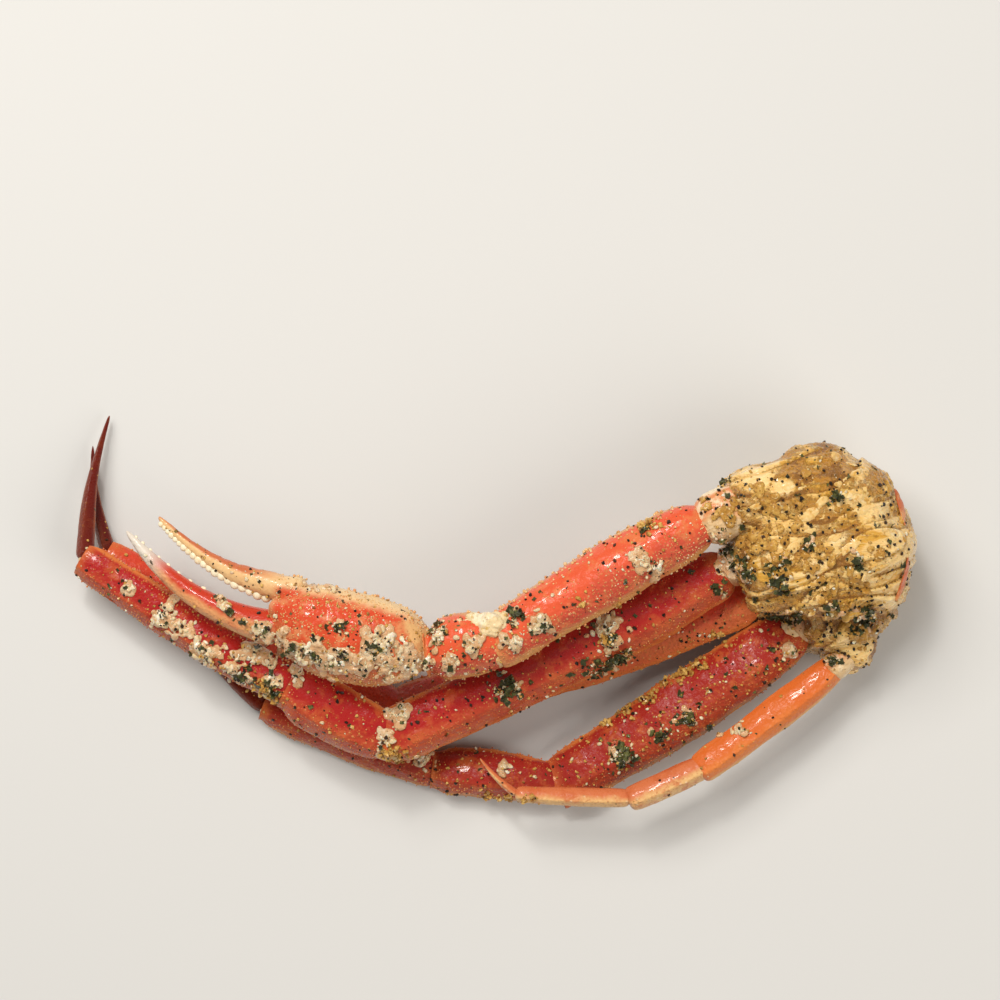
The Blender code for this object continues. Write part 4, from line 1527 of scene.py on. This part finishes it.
def plate_along(route):
    """A thin plate on the meat that follows a route, with its face towards the outer end."""
    deselect_all()
    bpy.ops.mesh.primitive_plane_add(size=1)
    plate = bpy.context.object
    bpy.ops.object.mode_set(mode="EDIT")
    shape = bmesh.from_edit_mesh(plate.data)
    bmesh.ops.delete(shape, geom=shape.verts[:], context="VERTS")
    landed = [land(x * MM, y * MM)[0] for x, y in route]
    landed = [point for point in landed if point is not None]
    rows = []
    for index, point in enumerate(landed):
        along = landed[min(index + 1, len(landed) - 1)] - landed[max(index - 1, 0)]
        narrowed = math.sin(math.pi * (index + 0.4) / (len(landed) - 0.2))
        across = PLATE_FACES.cross(along).normalized() * PLATE_WIDEST * narrowed
        torn = 1 + 0.6 * math.sin(index * 2.1)
        middle = point + PLATE_FACES * PLATE_THICKNESS * 0.6
        rows.append([shape.verts.new(middle + across * share) for share in (-0.5, 0, 0.5 * torn)])
    for first, second in zip(rows, rows[1:]):
        for corner in range(2):
            shape.faces.new((first[corner], second[corner], second[corner + 1], first[corner + 1]))
    bmesh.update_edit_mesh(plate.data)
    bpy.ops.object.mode_set(mode="OBJECT")
    wall = plate.modifiers.new("wall", "SOLIDIFY")
    wall.thickness = PLATE_THICKNESS
    wall.offset = 0
    apply_modifier(plate, wall)
    subdivide_smooth(plate, 3)
    displace(plate, "CLOUDS", 1.4 * MM, 0.6 * MM)
    return plate


shell_scraps = join_pieces([plate_along(route) for route in SCRAPS], "shoulder_shell_scraps")
finish_piece(shell_scraps, leg_granule_shell, "cooked_shell")
print("scrap faces:", len(shell_scraps.data.polygons))

# %% [markdown]
# ## Loose flakes
# Loose flakes of meat lie over the shoulder, most of them along the fibres. One flake is a small ball,
# drawn out, flattened and bent. Its copies are laid on the surface with some scatter and melted into ragged
# sheets.

# %% Loose flakes of meat
FLAKE_PILES = [
    (97, 38, 4), (101, 32, 4), (104, 27, 3.5), (84, 34, 3), (88, 24, 4), (112, 31, 3), (96, 19, 4),
    (82, 15, 3), (93, 9, 4), (104, 12, 4), (109, 20, 4), (88, 2, 3), (72, 32, 3), (111, 25, 3),
]


def laid_turns(rng, normals, heading, loose):
    """Turns that lay a long bit on its surface, its length towards a heading, give or take."""
    turns = []
    for normal in normals:
        spin = heading + rng.normal() * loose
        ahead = Vector((math.cos(spin), math.sin(spin), rng.normal() * 0.12))
        up = Vector(normal)
        side = up.cross(ahead).normalized()
        ahead = side.cross(up).normalized()
        turns.append(np.array([ahead, side, up]).T)
    return np.array(turns)


def bent(shapes, rise):
    """The same shapes, bent like a bow."""
    for points, _ in shapes:
        points[:, 2] -= rise * points[:, 0] ** 2
        points[:, 1] += 0.4 * rise * np.sin(points[:, 0] * 1.3)
    return shapes


def spooned(name, shapes, bits, turns, rough, material, slot, skin=0.30 * MM, rounds=3):
    """Many bits melted into one soft skin and roughened, on which later bits can land."""
    piece = scatter_mesh(name, shapes, bits, turns, material, slot)
    melt_together(piece, skin, rounds)
    displace(piece, "CLOUDS", 1.2 * MM, rough, noise_depth=2)
    rest_on_floor(piece)
    finish_piece(piece, material, slot)
    add_landing(name, piece)
    print(name, "faces once melted:", len(piece.data.polygons))


rng = np.random.default_rng(5)
flakes = [[], [], []]
for x, y, reach in FLAKE_PILES:
    for _ in range(int(reach * 1.3)):
        at = (x * MM + rng.normal() * reach * 0.6 * MM, y * MM + rng.normal() * reach * 0.6 * MM)
        point, normal, _ = land(*at)
        if point is None or normal.z < 0.35:
            continue
        flakes[0].append(point - normal * 0.15 * MM)
        flakes[1].append(normal)
        flakes[2].append(rng.uniform(0.8, 1.9) * MM)
flake_shapes = bent(bit_shapes(6, 3, 0.16, (2.0, 0.85, 0.22), 500), 0.06)
flake_turns = laid_turns(rng, flakes[1], FIBRE_TILT, 0.35)
spooned("meat_flakes", flake_shapes, flakes, flake_turns, 0.35 * MM, flake_meat, "shoulder_meat")

# %% [markdown]
# ## Garlic, herbs, crumbs and pepper
# The sauce was spooned on in piles and the seasoning strewn over all of it. Each pile is listed: its
# place and its reach. Under the bits lies the sauce itself, a thick butter that has run together. It is
# made from flattened blobs that are melted into one skin and roughened. Bits fall thickest in a pile's
# middle, and every pile holds a little of the other kinds. The strewn bits fall anywhere, in drifts, more
# on the shoulder and along the keels than on the smooth red, and some lean in from the side, so that the
# flanks get their share.

# %% Piles, in mm: x, y, reach
GARLIC_PILES = [
    (11.5, -4, 2.8), (30.5, -4.5, 3.6), (40, 13.5, 2.5), (44.5, 12, 2), (83, -12.5, 2.2),
    (67.5, -33, 2), (-93, -2, 3.6), (-103.5, 6, 1.7), (-83.5, -12, 2.2), (-82, -14.5, 2.2),
    (-84, -8, 1.7), (-74.5, -17, 2.2), (-67.5, -12.5, 2.2), (-62.5, -14.5, 2), (-75.5, 2, 1.7),
    (-65.5, -5.5, 2.2), (-51, 8, 2.2), (-45.5, 6, 1.4), (-31.5, -9, 4.2), (-55, -13, 2.5),
    (-43.5, -15.5, 2), (-23.5, -17, 2.2), (-16.5, -7, 2.5), (-55.5, -18.5, 2.2), (-63, -20.5, 2.2),
    (-19, -15, 2), (4.5, -8.5, 2.0), (-27.5, -30, 2.2), (-21.5, -42.5, 2.2), (2.5, -45, 1.4),
    (-31, -36.5, 2.4), (-7, -10.5, 1.8),
]
HERB_PILES = [
    (62.5, 36, 2.8), (64, 16.5, 2.2), (67, 13, 2.5), (69, 10, 2.2), (62.5, 5.5, 2), (77, 8, 2),
    (79.5, 5.5, 1.4), (78.5, 13.5, 1.4), (76, 12, 1.4), (99.5, 13.5, 2), (94, 31.5, 2), (87, 18.5, 1.7),
    (93.5, 0.5, 2), (103.5, -3, 3.1), (83.5, -3, 2.2), (78.5, -2, 1.7), (94.5, -14.5, 2),
    (5, -1.5, 2.2), (28, -17, 2.8), (32.5, -15, 2.8), (36.5, -13, 2.2), (3, -22.5, 3.4),
    (32, -8.5, 1.7), (35.5, -41.5, 3.4), (53.5, -31.5, 2.8), (46.5, -36, 2.2), (61.5, -34.5, 1.4),
    (-70.5, -19.5, 2.5), (-63.5, -22.5, 2.5), (-77.5, 3.5, 1.1), (-74.5, -1, 1.1), (-70, -3, 1.1),
    (-43.5, -5, 2), (-58.5, -11, 1.4), (-50, -13.5, 1.4), (-17, -5, 2.5),
]
SPICE_PILES = [
    (65.5, 26.5, 4.5), (80.5, 27.5, 3.9), (107.5, 32, 3.0), (72, 19.5, 5), (79, 13, 4.6), (88, 15.5, 4),
    (99, 7, 4), (91, 5.5, 3.5), (83, 0.5, 2.6), (106, 16, 3), (90.5, -8.5, 2.8), (102, -8.5, 3.9),
    (57, 30.5, 2.2), (71.5, 34.5, 2.8), (75, 29, 3.4), (96, 27.5, 2.8), (86, 36, 2.4), (97, -1.5, 3),
]
CRUMB_PILES = [
    (30.5, -31.5, 2.2), (36, -28.5, 2.5), (42, -25, 2.5), (46.5, -20.5, 2.5), (51.5, -17.5, 2.8),
    (56.5, -16, 2.5), (63, -8, 2.2), (43, 25, 2.5), (40, 24, 2), (23.5, 2, 1.1), (33.5, 1.5, 1.1),
    (30.5, -8.5, 2.2), (-2.5, -54.5, 2.2), (2, -55, 2.2), (9, -55, 2.2), (-63.5, -24.5, 2.2),
    (-66, -22.5, 2.2), (-30, -41, 2.4), (-27, -42, 2.0),
]
SAUCE_FILM = [
    (-21, -14, 2.4), (-25.5, -12.5, 3.0), (-29, -16.5, 2.6), (-33.5, -12, 3.2), (-37.5, -15.5, 3.0),
    (-42, -12.5, 2.8), (-46.5, -14.5, 2.8), (-51, -11.5, 2.6), (-55.5, -10.5, 2.6), (-60, -9.0, 2.4),
    (-63.5, -6.0, 2.0), (-12, -14, 2.4), (-7, -8, 2.4), (-67, -10, 2.2), (-72, -13.5, 2.0),
    (-79, -12, 2.0), (-88, -5, 2.0), (64, 12, 2.4), (61, 20, 2.0),
]


def heap(rng, piles, per_square, radius_low, radius_high, stacking=0.55):
    """Bits of every pile: centres, normals and radii."""
    centres, normals, radii = [], [], []
    for x, y, reach in piles:
        for _ in range(int(per_square * math.pi * reach * reach)):
            away = reach * MM * 0.58
            point, normal, _ = land(x * MM + rng.normal() * away, y * MM + rng.normal() * away)
            if point is None or normal.z < 0.15:
                continue
            radius = (radius_low + (radius_high - radius_low) * rng.random() ** 1.6) * MM
            base = pile_on(point, radius, stacking)
            centres.append((point.x, point.y, base + radius * 0.15))
            normals.append(normal)
            radii.append(radius)
    return centres, normals, radii


# How much of what falls on a piece stays there, from 0 to 1.
AMOUNT = {
    "shoulder": 1.0, "claw_basis": 0.5, "claw_merus": 0.35, "claw_carpus": 0.6, "claw_palm": 0.5,
    "claw_finger": 0.15, "leg_1_merus": 0.4, "leg_1_carpus": 0.5, "leg_1_propodus": 0.4, "leg_1_dactyl": 0.1,
    "leg_2_merus": 0.45, "leg_3_merus": 0.6, "leg_3_carpus": 0.5, "leg_3_propodus": 0.35,
    "leg_4_merus": 0.10, "leg_4_carpus": 0.08, "leg_4_propodus": 0.03, "joints": 0.4, "elbow": 0.1,
    "meat_flakes": 0.25, "spice_mush": 0.5, "garlic_butter_sauce": 0.6, "garlic_curds": 0.3,
}
AMOUNT_ELSEWHERE = 0.25
TRIES_PER_BIT = 40


def strew(rng, count, radius_low, radius_high, drift, amounts, lean=0.5):
    """Bits over the whole cluster, in drifts of about this size in mm."""
    centres, normals, radii = [], [], []
    low, high = np.array(cad_box[0]), np.array(cad_box[1])
    for _ in range(count * TRIES_PER_BIT):
        if len(centres) >= count:
            break
        x, y = rng.uniform(low[:2], high[:2])
        thick = noise.noise(Vector((x, y, 0.3)) / (drift * MM)) * 0.5 + 0.5
        if rng.random() > thick * thick * 2.2:
            continue
        tilt = rng.normal(size=2) * lean
        point, normal, node = land(x, y, tilt)
        if point is None or rng.random() > amounts.get(node, AMOUNT_ELSEWHERE) or normal.z < -0.2:
            continue
        radius = (radius_low + (radius_high - radius_low) * rng.random() ** 2) * MM
        base = pile_on(point, radius) if normal.z > 0.5 else point.z
        centres.append((point.x, point.y, base + radius * 0.2 * normal.z))
        normals.append(normal)
        radii.append(radius)
    return centres, normals, radii


def merged(*groups):
    """The centres, normals and radii of several groups as one group."""
    return [sum((list(group[part]) for group in groups), []) for part in range(3)]


# %% The sauce and the spice mush
rng = np.random.default_rng(3)
blobs = bit_shapes(6, 2, 0.30, (1.25, 0.95, 0.5), 600)
spice = merged(
    heap(rng, SPICE_PILES, 0.34, 0.6, 1.5, stacking=0.1),
    heap(rng, CRUMB_PILES, 0.40, 0.5, 1.1, stacking=0.1),
)
heap_depths.clear()
spice_turns = facing_turns(rng, spice[1], 0.2)
spooned("spice_mush", blobs, spice, spice_turns, 0.5 * MM, mush, "seasoning_crumbs")
butter_blobs = merged(
    heap(rng, GARLIC_PILES, 0.60, 0.8, 1.8, stacking=0.0),
    heap(rng, HERB_PILES, 0.35, 0.6, 1.3, stacking=0.0),
    heap(rng, SAUCE_FILM, 0.60, 0.8, 1.8, stacking=0.0),
)
heap_depths.clear()
butter_turns = facing_turns(rng, butter_blobs[1], 0.15)
spooned("garlic_butter_sauce", blobs, butter_blobs, butter_turns, 0.40 * MM, sauce, "garlic_butter")
curds = merged(
    heap(rng, GARLIC_PILES, 0.70, 0.38, 1.0, stacking=0.25),
    heap(rng, SAUCE_FILM, 0.30, 0.35, 0.85, stacking=0.2),
    heap(rng, HERB_PILES, 0.14, 0.35, 0.7, stacking=0.2),
)
heap_depths.clear()
curd_shapes = bit_shapes(8, 2, 0.34, (1.3, 0.9, 0.62), 700)
curd_turns = facing_turns(rng, curds[1], 0.5)
spooned("garlic_curds", curd_shapes, curds, curd_turns, 0.2 * MM, garlic, "garlic_butter", 0.25 * MM, 6)

# %% Lay the toppings
rng = np.random.default_rng(7)
crumbs = merged(
    heap(rng, SPICE_PILES, 0.45, 0.12, 0.40),
    heap(rng, CRUMB_PILES, 1.5, 0.28, 1.10),
    heap(rng, HERB_PILES, 0.45, 0.20, 0.60),
    strew(rng, 1300, 0.16, 0.62, 9, AMOUNT | {"shoulder": 0.35, "leg_1_merus": 0.15, "claw_merus": 0.15}),
)
garlic_bits = merged(
    heap(rng, GARLIC_PILES, 0.22, 0.20, 0.55),
    heap(rng, SAUCE_FILM, 0.15, 0.20, 0.5),
    heap(rng, HERB_PILES, 0.42, 0.25, 0.65),
    strew(rng, 200, 0.20, 0.62, 7, AMOUNT | {"claw_palm": 1.0, "claw_carpus": 1.0, "shoulder": 0.25}),
)
herb_bits = merged(
    heap(rng, HERB_PILES, 0.95, 0.40, 1.10),
    heap(rng, GARLIC_PILES, 0.16, 0.35, 0.8),
    heap(rng, SAUCE_FILM, 0.14, 0.35, 0.9),
    strew(rng, 240, 0.35, 0.95, 12, AMOUNT | {"claw_palm": 0.8}),
)
pepper_bits = merged(
    heap(rng, GARLIC_PILES, 0.10, 0.22, 0.5),
    heap(rng, CRUMB_PILES, 0.22, 0.24, 0.6),
    heap(rng, SPICE_PILES, 0.10, 0.30, 0.70),
    strew(rng, 850, 0.18, 0.76, 14, AMOUNT),
)

scatter_mesh(
    "seasoning_crumbs", bit_shapes(8, 1, 0.42, (1.1, 0.9, 0.8), 100), crumbs,
    random_turns(rng, len(crumbs[0])), crumb, "seasoning_crumbs", smooth=False,
)
scatter_mesh(
    "garlic_bits", bit_shapes(8, 2, 0.34, (1.25, 0.9, 0.62), 200), garlic_bits,
    facing_turns(rng, garlic_bits[1], 0.5), garlic, "garlic_butter",
)
scatter_mesh(
    "herb_flakes", leaf_shapes(8, 300), herb_bits,
    facing_turns(rng, herb_bits[1], 0.42), herb, "green_herbs", smooth=False,
)
scatter_mesh(
    "pepper_specks", bit_shapes(6, 1, 0.38, (1, 0.8, 0.7), 400), pepper_bits,
    random_turns(rng, len(pepper_bits[0])), pepper, "black_pepper", smooth=False,
)
